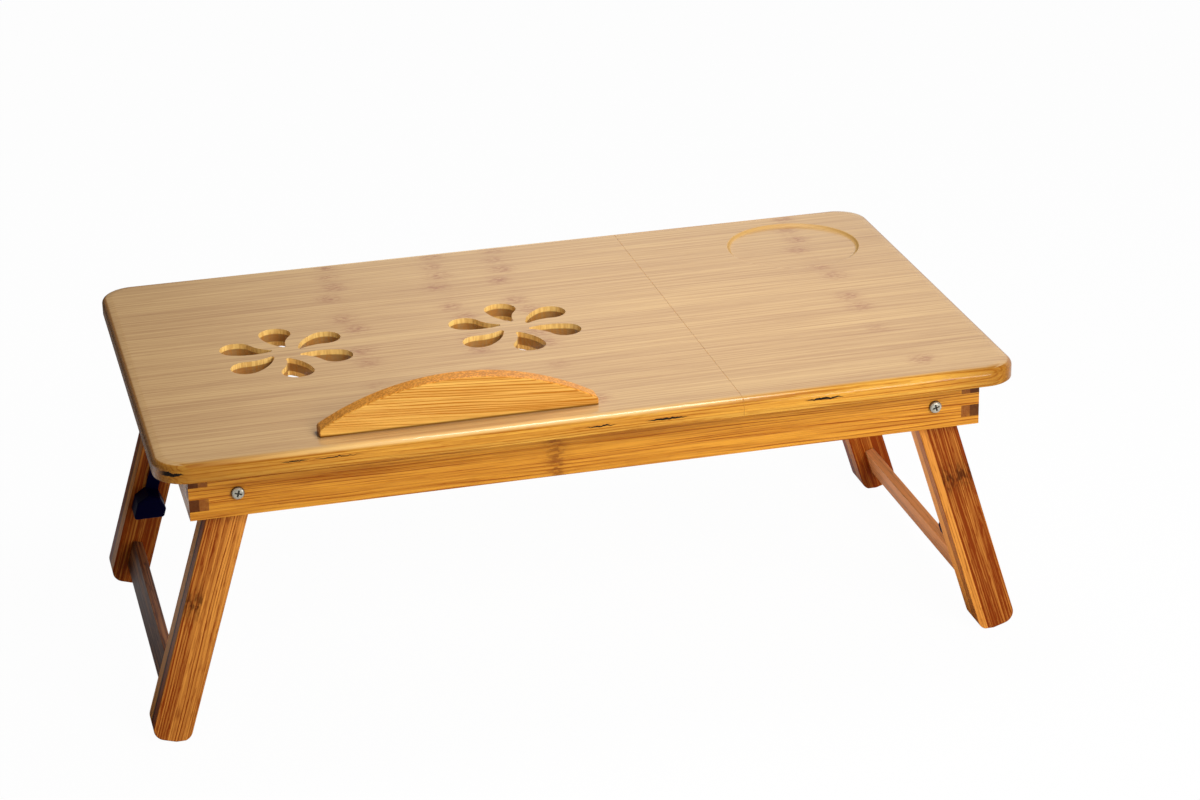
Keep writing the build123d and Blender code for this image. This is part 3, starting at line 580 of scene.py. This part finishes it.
def cut_plies(wire, settings, face):
    """The cut edges of a panel: golden plies, darker towards the left and right ends of the top, a painted
    highlight along the crest, and vent walls whose middle ply is darker, partly as painted shade.
    """
    details = settings.panel
    edge = settings.edge
    outer, middle = (dye(wire, edge, grain(wire, edge, X, Z, seed)).colour for seed in EDGE_SEEDS)
    height = (face.w - panel_low) / details.ply
    core = height.step(*CORE_FOOT) * (1 - height.step(*CORE_HEAD))
    plies = wire.mix(outer, wire.mix(middle, details.core, 1.0, "MULTIPLY"), core)
    # The cut edges darker towards the left and right ends of the top
    left = 1 - (face.u + panel_corner.x).step(0.0, LEFT_DARK_REACH)
    right = (face.u - panel_corner.x).step(-RIGHT_DARK_REACH, 0.0)
    plies = wire.mix(plies, shaded(edge.deep, ENDS_DARK_TONE), left * LEFT_DEPTH + right * RIGHT_DEPTH)
    # Painted highlight: the crest made pale, but not near the left end and fading out to the right
    painted_crest_highlight = height.step(*CREST_RISE) * (1 - left) * (1 - face.u.step(*CREST_END))
    plies = wire.mix(plies, details.crest, painted_crest_highlight * CREST_DEPTH)
    plies = wire.mix(plies, details.flaw, open_glue(wire, face, height))
    flecks = wire.noise(*scaled((face.u, face.v, face.w), VENT_FLECKS)).step(*VENT_FLECK_RISE)
    # The middle ply in the vents is darker, partly its own colour and partly painted shade
    wall = wire.mix(details.vent_wall, details.vent_core_and_shade, core)
    wall = wire.mix(wall, edge.deep, flecks * VENT_FLECK_DEPTH)
    within_x, within_y = (1 - abs(place).step(reach - PANEL_BORDER, reach - PANEL_BORDER / 2)
                          for place, reach in ((face.u, panel_corner.x), (face.v, panel_corner.y)))
    return wire.mix(plies, wall, within_x * within_y * VENT_DEPTH)


def panel_bamboo(name, settings):
    """The top: pale strips on the face, plies on the cut edges, painted light in the seam between the panels and
    lacquer pooled round the well.
    """
    material, wire = new_material(name)
    face = grain(wire, settings.top, X, Y, TOP_SEED)
    marked = (face.v / settings.top.strip).fraction().hump(0.5, TOP_MARK_WIDTH)
    marked = marked * face.other_luck.step(*TOP_MARK_RISE) * TOP_MARK_DEPTH
    dye(wire, settings.top, face, TOP_MARKS, marked, TOP_MARK_REACH)
    off_x, off_y = face.u - well_middle.x, face.v - well_middle.y
    beyond_well = ((off_x * off_x + off_y * off_y) ** 0.5).step(WELL_RIM, WELL_RIM + GLUE_LINE)
    upright = 1 - abs(face.facing.along(Z)).step(*LEVEL_RISE)
    well_wall = upright * (1 - beyond_well)
    sideways = abs(face.facing.along(X))
    fallen = (panel_top - face.w - SIDE_DROP * sideways.step(*SIDE_RISE)).step(*FALL_RISE)
    rim = upright.larger(fallen * (face.w - panel_low).step(*UNDERSIDE_RISE)) * beyond_well
    colour = wire.mix(face.colour, cut_plies(wire, settings, face), rim)
    # Painted light: the walls in the seam between the panels take the bright vent-wall colour, which lessens the
    # shade in the seam
    seam_lightened = sideways.step(*SEAM_RISE) * (1 - abs(face.u - seam_x).step(SEAM_REACH / 2, SEAM_REACH))
    colour = wire.mix(colour, settings.panel.vent_wall, seam_lightened)
    face.colour = wire.mix(colour, settings.panel.well_tint, well_wall * WELL_DEPTH)
    return lacquer(wire, material, settings.top, face, TOP_RELIEF, well_wall * WELL_DULL - rim * RIM_SHINE)


# Book stop

STOP_SEED = 3.1
STOP_LEAN = math.radians(4)
ARCH_RISE = (0.35, 0.75)
# Painted shadow along the stop's foot: its height, where it is full, its colour and its strength
FOOT_SHADOW_HEIGHT = 0.0016
FOOT_SHADOW_FULL = 0.4
FOOT_SHADOW_TONE = 0.25
FOOT_SHADOW_DEPTH = 0.8


def stop_bamboo(name, look):
    """The book stop: fine lines on its faces, cut fibres along its arch and a painted shadow along its foot."""
    material, wire = new_material(name)
    along = math.cos(STOP_LEAN) * X - math.sin(STOP_LEAN) * Z
    board = grain(wire, look, along, Y.cross(along), STOP_SEED, (0, 0, panel_top))
    board.ends = board.ends.larger(board.facing.along(Z).step(*ARCH_RISE))
    dye(wire, look, board)
    # Painted shadow: the stop darkened just above the top, along its foot
    level = wire.position()[2] - panel_top
    foot = 1 - level.step(FOOT_SHADOW_FULL * FOOT_SHADOW_HEIGHT, FOOT_SHADOW_HEIGHT)
    board.colour = wire.mix(board.colour, shaded(look.deep, FOOT_SHADOW_TONE), foot * FOOT_SHADOW_DEPTH)
    return lacquer(wire, material, look, board)


# Rails

WHITE = (1, 1, 1)
FINGER_PLY = 0.006
FINGER_SHADE = (0.42, 0.36, 0.34)
# Painted shadow of the top's overhang on the rail: how far down it reaches, its colour and its strength
OVERHANG_SHADOW_REACH = 0.0016
OVERHANG_SHADOW_TONE = 0.35
OVERHANG_SHADOW_DEPTH = 0.9
RAILS = {
    "front_rail": SimpleNamespace(along=X, seed=1.3, marks=(-0.031,)),
    "back_rail": SimpleNamespace(along=X, seed=2.7, marks=(0.120,)),
    "left_end_rail": SimpleNamespace(along=Y, seed=4.2, marks=(0.040,)),
    "right_end_rail": SimpleNamespace(along=Y, seed=5.9, marks=()),
}


def rail_bamboo(name, look, rail, outer_face=None):
    """A rail with a painted shadow under the top's overhang; an end rail's fingers show two plies of end grain."""
    material, wire = new_material(name)
    board = dye(wire, look, grain(wire, look, rail.along, Z, rail.seed, rail_foot), rail.marks)
    if outer_face:
        outside = abs(board.w).step(outer_face - FINGER_PLY - GLUE_LINE, outer_face - FINGER_PLY)
        shade = wire.mix(WHITE, FINGER_SHADE, outside * board.ends)
        board.colour = wire.mix(board.colour, shade, 1.0, "MULTIPLY")
    # Painted shadow: the rail darkened just under the top's overhang
    joint = (board.v + rail_foot.z - panel_low).step(-OVERHANG_SHADOW_REACH, -OVERHANG_SHADOW_REACH / 2)
    board.colour = wire.mix(board.colour, shaded(look.mark, OVERHANG_SHADOW_TONE), joint * OVERHANG_SHADOW_DEPTH)
    return lacquer(wire, material, look, board)


# Legs and stretchers

LEG_SIDE_RISE = (0.60, 0.90)
LEG_PLY = 0.1215
LEG_GAP = 0.0026
INNER_PLY_TONE = 0.7
LEG_SIDE_TONE = 0.3
LEG_MARK_DEPTH = 0.78
LEG_MARK_REACH = 0.0095
# Each leg: seed, node mark, where its strips meet, tones of its left strip, right strip and sides, and glue line
# strength. The rear legs' darker tones are painted shade of the desk, and the side tones are painted light and
# shade, lightest on the right front leg's inner side where the floor lights it.
LEGS = {
    "left_front": SimpleNamespace(seed=11.0, mark=-0.088, split=-0.0022, left=-0.20, right=0.14,
                                  side=-0.05, glue=0.9),
    "left_rear": SimpleNamespace(seed=13.3, mark=-0.060, split=0.0040, left=-0.28, right=-0.45,
                                 side=-0.15, glue=0.6),
    "right_front": SimpleNamespace(seed=15.6, mark=-0.058, split=-0.0074, left=0.40, right=-0.31,
                                   side=0.25, glue=0.2),
    "right_rear": SimpleNamespace(seed=17.9, mark=-0.110, split=0.0030, left=-0.38, right=-0.60,
                                  side=-0.45, glue=0.2),
}
# Each stretcher's seed and tone; the tones are painted light and shade, the left one darker in the desk's shadow
# and the right one lighter where light reaches it
STRETCHERS_LIT_AND_SHADED = {"left": SimpleNamespace(seed=21.0, tone=-0.55), "right": SimpleNamespace(seed=22.0, tone=0.42)}


def leg_bamboo(name, look, leg, up, pivot):
    """A leg glued up from two strips of different tone, and from two plies that show on its sides; its tones also
    carry painted light and shade, set leg by leg.
    """
    material, wire = new_material(name)
    across = Y.cross(up)
    board = grain(wire, look, up, across, leg.seed, pivot, leg.split)
    sideways = abs(board.facing.along(across)).step(*LEG_SIDE_RISE)
    inner_ply = 1 - abs(board.w).step(LEG_PLY - GLUE_LINE, LEG_PLY)
    # The strip and side tones include the painted light and shade set in LEGS
    board.tone = board.tone + (leg.left + (leg.right - leg.left) * board.strip) * (1 - sideways)
    board.tone = board.tone + (INNER_PLY_TONE * inner_ply - LEG_SIDE_TONE + leg.side) * sideways
    dark_strip = board.strip if leg.right < leg.left else 1 - board.strip
    dye(wire, look, board, (leg.mark,), dark_strip * (1 - sideways) * LEG_MARK_DEPTH, LEG_MARK_REACH)
    glue = (1 - abs(abs(board.w) - LEG_PLY).step(LEG_GAP / 2, LEG_GAP)) * sideways
    board.colour = wire.mix(board.colour, look.mark, glue * leg.glue)
    return lacquer(wire, material, look, board)


# Metal, plastic and board

CLOUDS = (420, 420, 420)
CLOUD_DETAIL = 3.0
CLOUD_RISE = (0.56, 0.78)
CLOUD_DEPTH = 0.35
CLOUD_ROUGH = 0.2
SCRATCHES = (2600, 500, 2600)
SCRATCH_ROUGH = 0.15
SCRATCH_RELIEF = 0.05
SCRATCH_DEPTH = 0.0001
# Painted shade in the pivot screw heads: the cross recess, the ring round each head, the width of their edges, how
# deep the recess reaches and how dark they are
HEAD_CROSS = 0.0026
HEAD_RIM = 0.0040
HEAD_LINE = 0.0005
HEAD_RECESS = 0.0009
HEAD_SHADE_DEPTH = 0.9


def metal(name, colour, grime, roughness, metallic=1.0, heads=None):
    """Plated or plain metal with scratches and dirt; in a box of screw heads, painted shade darkens the recesses
    and a ring round each head.
    """
    material, wire = new_material(name)
    x, y, z = place = wire.position()
    cloud = wire.noise(*scaled(place, CLOUDS), CLOUD_DETAIL)
    scratch = wire.noise(*scaled(place, SCRATCHES))
    shade = wire.mix(colour, grime, cloud.step(*CLOUD_RISE) * CLOUD_DEPTH)
    # Painted shade: the pivot screws' cross recesses and a ring round each head darkened
    if heads:
        middle = (heads[0] + heads[1]) / 2
        off_x, off_z = abs(x) - abs(middle.x), z - middle.z
        out = (off_x * off_x + off_z * off_z) ** 0.5
        sunk = 1 - abs(y).step(heads[1].y - HEAD_RECESS, heads[1].y - HEAD_RECESS / 2)
        painted_recess_shade = sunk * (1 - out.step(HEAD_CROSS - HEAD_LINE, HEAD_CROSS))
        shade = wire.mix(shade, grime, painted_recess_shade.larger(out.step(HEAD_RIM - HEAD_LINE, HEAD_RIM)) * HEAD_SHADE_DEPTH)
    rough = roughness + (cloud - 0.5) * CLOUD_ROUGH + (scratch - 0.5) * SCRATCH_ROUGH
    normal = wire.bump(scratch, SCRATCH_RELIEF, SCRATCH_DEPTH)
    return close_material(material, {"Base Color": shade, "Metallic": metallic, "Roughness": rough,
                                     "Normal": normal})


PITS = (2400, 2400, 2400)
PIT_ROUGH = 0.2
PIT_RELIEF = 0.12
PIT_DEPTH = 0.0002
RUBS = (90, 90, 90)
RUB_DETAIL = 3.0
RUB_RISE = (0.50, 0.75)
RUB_DEPTH = 0.4
RUB_SHINE = 0.06


def moulded(name, colour, wear, roughness, gloss):
    """Moulded plastic with a fine spark-eroded grain and rubbed spots."""
    material, wire = new_material(name)
    place = wire.position()
    pits = wire.noise(*scaled(place, PITS))
    rubbed = wire.noise(*scaled(place, RUBS), RUB_DETAIL).step(*RUB_RISE)
    shade = wire.mix(colour, wear, rubbed * RUB_DEPTH)
    rough = roughness + (pits - 0.5) * PIT_ROUGH - rubbed * RUB_SHINE
    normal = wire.bump(pits, PIT_RELIEF, PIT_DEPTH)
    return close_material(material, {"Base Color": shade, "Roughness": rough, "Specular IOR Level": gloss,
                                     "Normal": normal})


MATTING = (500, 500, 900)
MATTING_DETAIL = 4.0
MATTING_RISE = (0.3, 0.7)
MATTING_SHARE = 0.6
FLECKS = (320, 320, 320)
FLECK_RISE = (0.15, 0.5)
BOARD_SHADE = 0.6
BOARD_ROUGH = 0.62
MATTING_ROUGH = 0.2
MATTING_RELIEF = 0.15
MATTING_DEPTH = 0.0003


def pressed_board(name, colour):
    """Thin pressed board with matted fibres."""
    material, wire = new_material(name)
    place = wire.position()
    matting = wire.noise(*scaled(place, MATTING), MATTING_DETAIL)
    flecks = wire.cells(*scaled(place, FLECKS)).step(*FLECK_RISE)
    light = matting.step(*MATTING_RISE) * MATTING_SHARE + flecks * (1 - MATTING_SHARE)
    shade = wire.mix(shaded(colour, BOARD_SHADE), colour, light)
    rough = BOARD_ROUGH + (matting - 0.5) * MATTING_ROUGH
    normal = wire.bump(matting, MATTING_RELIEF, MATTING_DEPTH)
    return close_material(material, {"Base Color": shade, "Roughness": rough, "Normal": normal})


# Pieces

SHARP = math.radians(28)
FLAT = math.radians(0.4)
WELD = 1e-6
ROUND = 0.5


def paint(node, material):
    """Give a CAD node its material."""
    slots = frame["nodes"][node].data.materials
    slots.clear()
    slots.append(material)


def eased(node, radius, material, picks=None, segments=3):
    """Let a copy of a node with its sharp edges rounded stand for the node."""
    source = frame["nodes"][node].data
    mesh = bpy.data.meshes.new(node + "_eased")
    mesh.from_pydata([v.co for v in source.vertices], [], [list(p.vertices) for p in source.polygons])
    work = bmesh.new()
    work.from_mesh(mesh)
    bmesh.ops.remove_doubles(work, verts=work.verts, dist=WELD)
    bmesh.ops.dissolve_limit(work, angle_limit=FLAT, verts=work.verts, edges=work.edges)
    sharp = [edge for edge in work.edges if edge.is_manifold and edge.calc_face_angle() > SHARP]
    if picks:
        sharp = [edge for edge in sharp if picks(edge)]
    bmesh.ops.bevel(work, geom=sharp, offset=radius, offset_type="OFFSET", segments=segments,
                    profile=ROUND, affect="EDGES", clamp_overlap=True)
    bmesh.ops.recalc_face_normals(work, faces=work.faces)
    for face in work.faces:
        face.smooth = True
    for edge in work.edges:
        edge.smooth = not edge.is_manifold or edge.calc_face_angle() < SHARP
    work.to_mesh(mesh)
    work.free()
    mesh.materials.append(material)
    piece = bpy.data.objects.new(node + "_eased", mesh)
    bpy.context.scene.collection.objects.link(piece)
    weighted = piece.modifiers.new("Flat faces", "WEIGHTED_NORMAL")
    weighted.keep_sharp = True
    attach(piece, body_of[node])
    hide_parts(node)


def on_top_face(edge):
    """True for an edge in the top face of a panel, other than one at the seam."""
    at_seam = all(abs(vert.co.x - seam_x) < SEAM_REACH for vert in edge.verts)
    return not at_seam and all(vert.co.z > panel_top - WELD for vert in edge.verts)


class BEDDESK_OT_panels(bpy.types.Operator):
    """Finish the tilting and the fixed panel of the top"""
    bl_idname = "beddesk.panels"
    bl_label = "Panels"

    def execute(self, context):
        settings = context.scene.bed_desk
        for node in ("tilt_panel", "fixed_panel"):
            material = panel_bamboo(node + "_lacquer", settings)
            eased(node, settings.panel.rim_round, material, on_top_face)
        return {"FINISHED"}


class BEDDESK_OT_book_stop(bpy.types.Operator):
    """Finish the arched strip that holds a book"""
    bl_idname = "beddesk.book_stop"
    bl_label = "Book stop"

    def execute(self, context):
        settings = context.scene.bed_desk
        material = stop_bamboo("book_stop_lacquer", settings.stop)
        eased("book_stop", settings.edges.small, material)
        return {"FINISHED"}


class BEDDESK_OT_rails(bpy.types.Operator):
    """Finish the finger-jointed rails of the frame"""
    bl_idname = "beddesk.rails"
    bl_label = "Rails"

    def execute(self, context):
        settings = context.scene.bed_desk
        for node, rail in RAILS.items():
            outer_face = max(abs(corner.x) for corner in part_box(node)) if rail.along == Y else None
            material = rail_bamboo(node + "_lacquer", settings.rail, rail, outer_face)
            eased(node, settings.edges.rail, material)
        return {"FINISHED"}


class BEDDESK_OT_legs(bpy.types.Operator):
    """Finish the four legs and their stretchers, with the grain along each leg"""
    bl_idname = "beddesk.legs"
    bl_label = "Legs"

    def execute(self, context):
        settings = context.scene.bed_desk
        for place, leg in LEGS.items():
            side = place.split("_")[0]
            node = place + "_leg"
            material = leg_bamboo(node + "_lacquer", settings.leg, leg, leg_up[side], leg_pivot[side])
            eased(node, settings.edges.leg, material)
        for side, bar in STRETCHERS_LIT_AND_SHADED.items():
            node = side + "_stretcher"
            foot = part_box(node)[0]
            up = leg_up[side]
            # bar.tone is painted light and shade
            material = bamboo(node + "_lacquer", settings.stretcher, Y, up, bar.seed, foot, bar.tone)
            eased(node, settings.edges.small, material)
        return {"FINISHED"}


INNER_BOARDS = {
    "center_rail": (Y, Z), "seam_batten": (Y, X), "rack_front_batten": (X, Y), "rack_rear_batten": (X, Y),
    "prop_rack_left": (Y, Z), "prop_rack_right": (Y, Z), "drawer_near_runner": (X, Z),
    "drawer_far_runner": (X, Z), "prop_brackets": (X, Z),
}
INNER_SEED = 31.0
INNER_SEED_STEP = 1.7
DOWEL_SEED = 53.0


class BEDDESK_OT_inner_frame(bpy.types.Operator):
    """Finish the rails, battens, racks and runners under the top"""
    bl_idname = "beddesk.inner_frame"
    bl_label = "Inner frame"

    def execute(self, context):
        settings = context.scene.bed_desk
        for index, (node, (along, across)) in enumerate(INNER_BOARDS.items()):
            seed = INNER_SEED + INNER_SEED_STEP * index
            material = bamboo(node + "_finish", settings.inner, along, across, seed)
            eased(node, settings.edges.small, material)
        paint("panel_dowels", bamboo("dowel_finish", settings.inner, Z, X, DOWEL_SEED))
        return {"FINISHED"}


PROP_SEED = 61.0
FOOT_BAR_SEED = 67.0


class BEDDESK_OT_prop(bpy.types.Operator):
    """Finish the prop that holds the panel up"""
    bl_idname = "beddesk.prop"
    bl_label = "Prop"

    def execute(self, context):
        settings = context.scene.bed_desk
        for index, node in enumerate(("prop_left_arm", "prop_right_arm")):
            material = bamboo(node + "_finish", settings.inner, Y, X, PROP_SEED + index)
            eased(node, settings.edges.small, material)
        paint("prop_foot_bar", bamboo("prop_foot_bar_finish", settings.inner, X, Y, FOOT_BAR_SEED))
        return {"FINISHED"}


DRAWER_BOARDS = {"drawer_near_side": (X, Z), "drawer_far_side": (X, Z), "drawer_back": (Y, Z)}
DRAWER_SEED = 71.0
DRAWER_SEED_STEP = 1.9
KNOB_SEED = 79.0


class BEDDESK_OT_drawer(bpy.types.Operator):
    """Finish the drawer in the right end"""
    bl_idname = "beddesk.drawer"
    bl_label = "Drawer"

    def execute(self, context):
        settings = context.scene.bed_desk
        face = rail_bamboo("drawer_face_lacquer", settings.rail, RAILS["right_end_rail"])
        eased("drawer_face", settings.edges.small, face)
        for index, (node, (along, across)) in enumerate(DRAWER_BOARDS.items()):
            seed = DRAWER_SEED + DRAWER_SEED_STEP * index
            material = bamboo(node + "_finish", settings.drawer, along, across, seed)
            eased(node, settings.edges.small, material)
        paint("drawer_knob", bamboo("drawer_knob_lacquer", settings.drawer, X, Z, KNOB_SEED))
        paint("drawer_bottom", pressed_board("drawer_bottom_finish", settings.hardware.board))
        return {"FINISHED"}


NICKEL_ROUGH = 0.22
NICKEL_SHEEN = 0.65
BRASS_ROUGH = 0.30
STEEL_ROUGH = 0.34
NYLON_ROUGH = 0.42
NYLON_GLOSS = 0.5
LOCK_ROUGH = 0.45
LOCK_GLOSS = 0.03
LOCK_WEAR = 2.2


class BEDDESK_OT_hardware(bpy.types.Operator):
    """Finish the screws, hinges, keepers, inserts, washers and locks"""
    bl_idname = "beddesk.hardware"
    bl_label = "Hardware"

    def execute(self, context):
        settings = context.scene.bed_desk
        look = settings.hardware
        nickel = metal("nickel_plate", look.nickel, look.grime, NICKEL_ROUGH, NICKEL_SHEEN)
        heads = metal("pivot_screw_plate", look.nickel, look.grime, NICKEL_ROUGH, NICKEL_SHEEN,
                      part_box("left_pivot_screws"))
        brass = metal("brass_plate", look.brass, look.grime, BRASS_ROUGH)
        steel = metal("bright_steel", look.steel, look.grime, STEEL_ROUGH)
        nylon = moulded("white_nylon", look.nylon, look.grime, NYLON_ROUGH, NYLON_GLOSS)
        lock = moulded("navy_plastic", look.lock, shaded(look.lock, LOCK_WEAR), LOCK_ROUGH, LOCK_GLOSS)
        for node in ("book_stop_screws", "keeper_screws", "drawer_knob_screw", "tilt_hinge_frame_screws",
                     "tilt_hinge_panel_screws"):
            paint(node, nickel)
        for node in ("tilt_hinge_pins", "tilt_hinge_frame_leaves", "tilt_hinge_panel_leaves"):
            paint(node, brass)
        paint("prop_pivot_rod", steel)
        for side in ("left", "right"):
            paint(side + "_pivot_screws", heads)
            paint(side + "_pivot_inserts", brass)
            paint(side + "_pivot_washers", nylon)
            paint(side + "_lock_slider", lock)
            eased(side + "_lock_keeper", settings.edges.metal, steel, segments=2)
        return {"FINISHED"}


# Stage

FLOOR_HALF = 9.0
FLOOR_DROP = 0.0003
BACK_FLOOR = (-0.15, 0.15)
FAR_FLOOR = (0.24, 0.30)
LEFT_FLOOR = (-0.34, -0.26)
DARK_FLOOR = (0.05, 0.05, 0.05)
DARK_SHARE = 0.85

SIDE_LIGHT = Vector((0.8, -0.3, 0.35))
SIDE_LIGHT_RISE = (-0.5, 0.7)
AMBIENT_LEAST = 0.05
AMBIENT_SIDE = 0.35
BACKDROP_LEAST = 0.10
BACKDROP_GLOW = 0.70
BACKDROP_TOP = (0.45, 0.57)
BACKDROP_START = (0.0, 0.4)
BACKDROP_RIGHT = (0.04, 0.21)
BACKDROP_LEFT_SHARE = 0.08

SENSOR_WIDTH = 36
DESK_MIDDLE = (0, 0, 0.15)
LAMPS = {
    "key": SimpleNamespace(place=(0.62, -1.55, 1.05), aim=DESK_MIDDLE, size=0.90, mirrored=False),
    "spark": SimpleNamespace(place=(0.60, -1.20, 0.12), aim=DESK_MIDDLE, size=0.30, mirrored=True),
    "top": SimpleNamespace(place=(0.13, 0.03, 0.75), aim=DESK_MIDDLE, size=0.30, mirrored=True),
    "bounce": SimpleNamespace(place=(0.10, 0.00, 0.004), aim=(0.10, 0.00, 1.0), size=0.24, mirrored=False),
}


def ray_kinds(wire):
    """Whether a point is seen by the camera, in a reflection, or through something."""
    kinds = ("Is Camera Ray", "Is Glossy Ray", "Is Transmission Ray")
    return [wire.add("ShaderNodeLightPath", output=kind) for kind in kinds]


def floor_material(stage):
    """A pale floor with a faint shadow, which reflections show dark in front and at the far left."""
    material, wire = new_material("pale_floor")
    lit = wire.add("ShaderNodeBsdfDiffuse", None, {"Color": (*stage.floor, 1)})
    glow = wire.add("ShaderNodeEmission", None, {"Strength": 1.0})
    dark = wire.add("ShaderNodeBsdfDiffuse", None, {"Color": (*DARK_FLOOR, 1)})
    camera, glossy, through = ray_kinds(wire)
    x, y = wire.position()[:2]
    far_left = y.step(*FAR_FLOOR) * (1 - x.step(*LEFT_FLOOR))
    bright = y.step(*BACK_FLOOR) * (1 - far_left)
    white = camera.larger(through) * stage.glow + glossy * bright * stage.gloss
    surface = wire.add("ShaderNodeMixShader", None, {0: white, 1: lit, 2: glow})
    dimmed = glossy * (1 - bright) * DARK_SHARE
    surface = wire.add("ShaderNodeMixShader", None, {0: dimmed, 1: surface, 2: dark})
    wire.add("ShaderNodeOutputMaterial", None, {"Surface": surface})
    return material


def studio_world():
    """White surroundings whose light comes mostly from the right, with a low bright backdrop behind."""
    world = bpy.data.worlds.new("studio")
    world.use_nodes = True
    world.node_tree.nodes.clear()
    wire = Wire(world.node_tree)
    heading = wire.add("ShaderNodeTexCoord", output="Generated")
    camera, glossy, through = ray_kinds(wire)
    ambient = AMBIENT_LEAST + AMBIENT_SIDE * heading.along(SIDE_LIGHT).step(*SIDE_LIGHT_RISE)
    low = 1 - heading.along(Z).step(*BACKDROP_TOP)
    behind = heading.along(Y).step(*BACKDROP_START)
    right = heading.along(X).step(*BACKDROP_RIGHT)
    across = BACKDROP_LEFT_SHARE + (1 - BACKDROP_LEFT_SHARE) * right
    backdrop = BACKDROP_LEAST + BACKDROP_GLOW * behind * low * across
    strength = ambient + (backdrop - ambient) * glossy
    strength = strength + (1 - strength) * camera.larger(through)
    sky = wire.add("ShaderNodeBackground", None, {"Color": (*WHITE, 1), "Strength": strength})
    wire.add("ShaderNodeOutputWorld", None, {"Surface": sky})
    bpy.context.scene.world = world


def area_light(name, lamp, watts):
    """A soft square light that faces a point, unseen by the camera, and mirrored or not."""
    data = bpy.data.lights.new(name, "AREA")
    data.size = lamp.size
    data.energy = watts
    light = bpy.data.objects.new(name, data)
    light.location = lamp.place
    light.rotation_euler = (Vector(lamp.aim) - Vector(lamp.place)).to_track_quat("-Z", "Y").to_euler()
    light.visible_camera = False
    light.visible_glossy = lamp.mirrored
    bpy.context.scene.collection.objects.link(light)


class BEDDESK_OT_stage(bpy.types.Operator):
    """Set up the floor, the lights and the camera"""
    bl_idname = "beddesk.stage"
    bl_label = "Stage"

    def execute(self, context):
        stage = context.scene.bed_desk.stage
        mesh = bpy.data.meshes.new("floor")
        signs = ((-1, -1), (1, -1), (1, 1), (-1, 1))
        corners = [(x * FLOOR_HALF, y * FLOOR_HALF, -FLOOR_DROP) for x, y in signs]
        mesh.from_pydata(corners, [], [(0, 1, 2, 3)])
        mesh.materials.append(floor_material(stage))
        floor = bpy.data.objects.new("floor", mesh)
        context.scene.collection.objects.link(floor)
        studio_world()
        for name, lamp in LAMPS.items():
            area_light(name + "_light", lamp, getattr(stage, name))
        self.add_camera(context, stage)
        context.scene.view_settings.view_transform = "Standard"
        return {"FINISHED"}

    def add_camera(self, context, stage):
        """Look at the desk from the front left, from above."""
        ahead = Vector((math.sin(stage.yaw) * math.cos(stage.pitch),
                        math.cos(stage.yaw) * math.cos(stage.pitch), -math.sin(stage.pitch)))
        right = Vector((math.cos(stage.yaw), -math.sin(stage.yaw), 0))
        up = right.cross(ahead)
        leaned_right = math.cos(stage.roll) * right + math.sin(stage.roll) * up
        leaned_up = math.cos(stage.roll) * up - math.sin(stage.roll) * right
        data = bpy.data.cameras.new("photo_camera")
        data.sensor_fit = "HORIZONTAL"
        data.sensor_width = SENSOR_WIDTH
        data.lens = stage.lens
        camera = bpy.data.objects.new("photo_camera", data)
        turn = Matrix((leaned_right, leaned_up, -ahead)).transposed().to_4x4()
        camera.matrix_world = Matrix.Translation(Vector(stage.target) - stage.distance * ahead) @ turn
        context.scene.collection.objects.link(camera)
        context.scene.camera = camera


class BEDDESK_PT_sidebar(bpy.types.Panel):
    """Lists the steps and settings of the desk's finish"""
    bl_label = "Bed Desk"
    bl_idname = "BEDDESK_PT_sidebar"
    bl_space_type = "VIEW_3D"
    bl_region_type = "UI"
    bl_category = "Bed Desk"

    def draw(self, context):
        for step in OPERATORS:
            self.layout.operator(step.bl_idname)
        settings = context.scene.bed_desk
        for name in BEDDESK_settings.__annotations__:
            group = getattr(settings, name)
            box = self.layout.box()
            box.label(text=name.replace("_", " ").capitalize())
            for field in type(group).__annotations__:
                box.prop(group, field)


OPERATORS = (BEDDESK_OT_panels, BEDDESK_OT_book_stop, BEDDESK_OT_rails, BEDDESK_OT_legs,
             BEDDESK_OT_inner_frame, BEDDESK_OT_prop, BEDDESK_OT_drawer, BEDDESK_OT_hardware,
             BEDDESK_OT_stage)
GROUPS = (TopLook, EdgeLook, StopLook, RailLook, LegLook, StretcherLook, InnerLook, DrawerLook,
          BEDDESK_panel_details, BEDDESK_hardware_look, BEDDESK_edge_sizes, BEDDESK_stage, BEDDESK_settings)
CLASSES = GROUPS + OPERATORS + (BEDDESK_PT_sidebar,)


def register():
    for cls in CLASSES:
        bpy.utils.register_class(cls)
    bpy.types.Scene.bed_desk = PointerProperty(type=BEDDESK_settings)


def unregister():
    del bpy.types.Scene.bed_desk
    for cls in reversed(CLASSES):
        bpy.utils.unregister_class(cls)


def main():
    """Dress the desk and set the stage."""
    register()
    for step in OPERATORS:
        group, name = step.bl_idname.split(".")
        getattr(getattr(bpy.ops, group), name)()


if __name__ == "__main__":
    main()
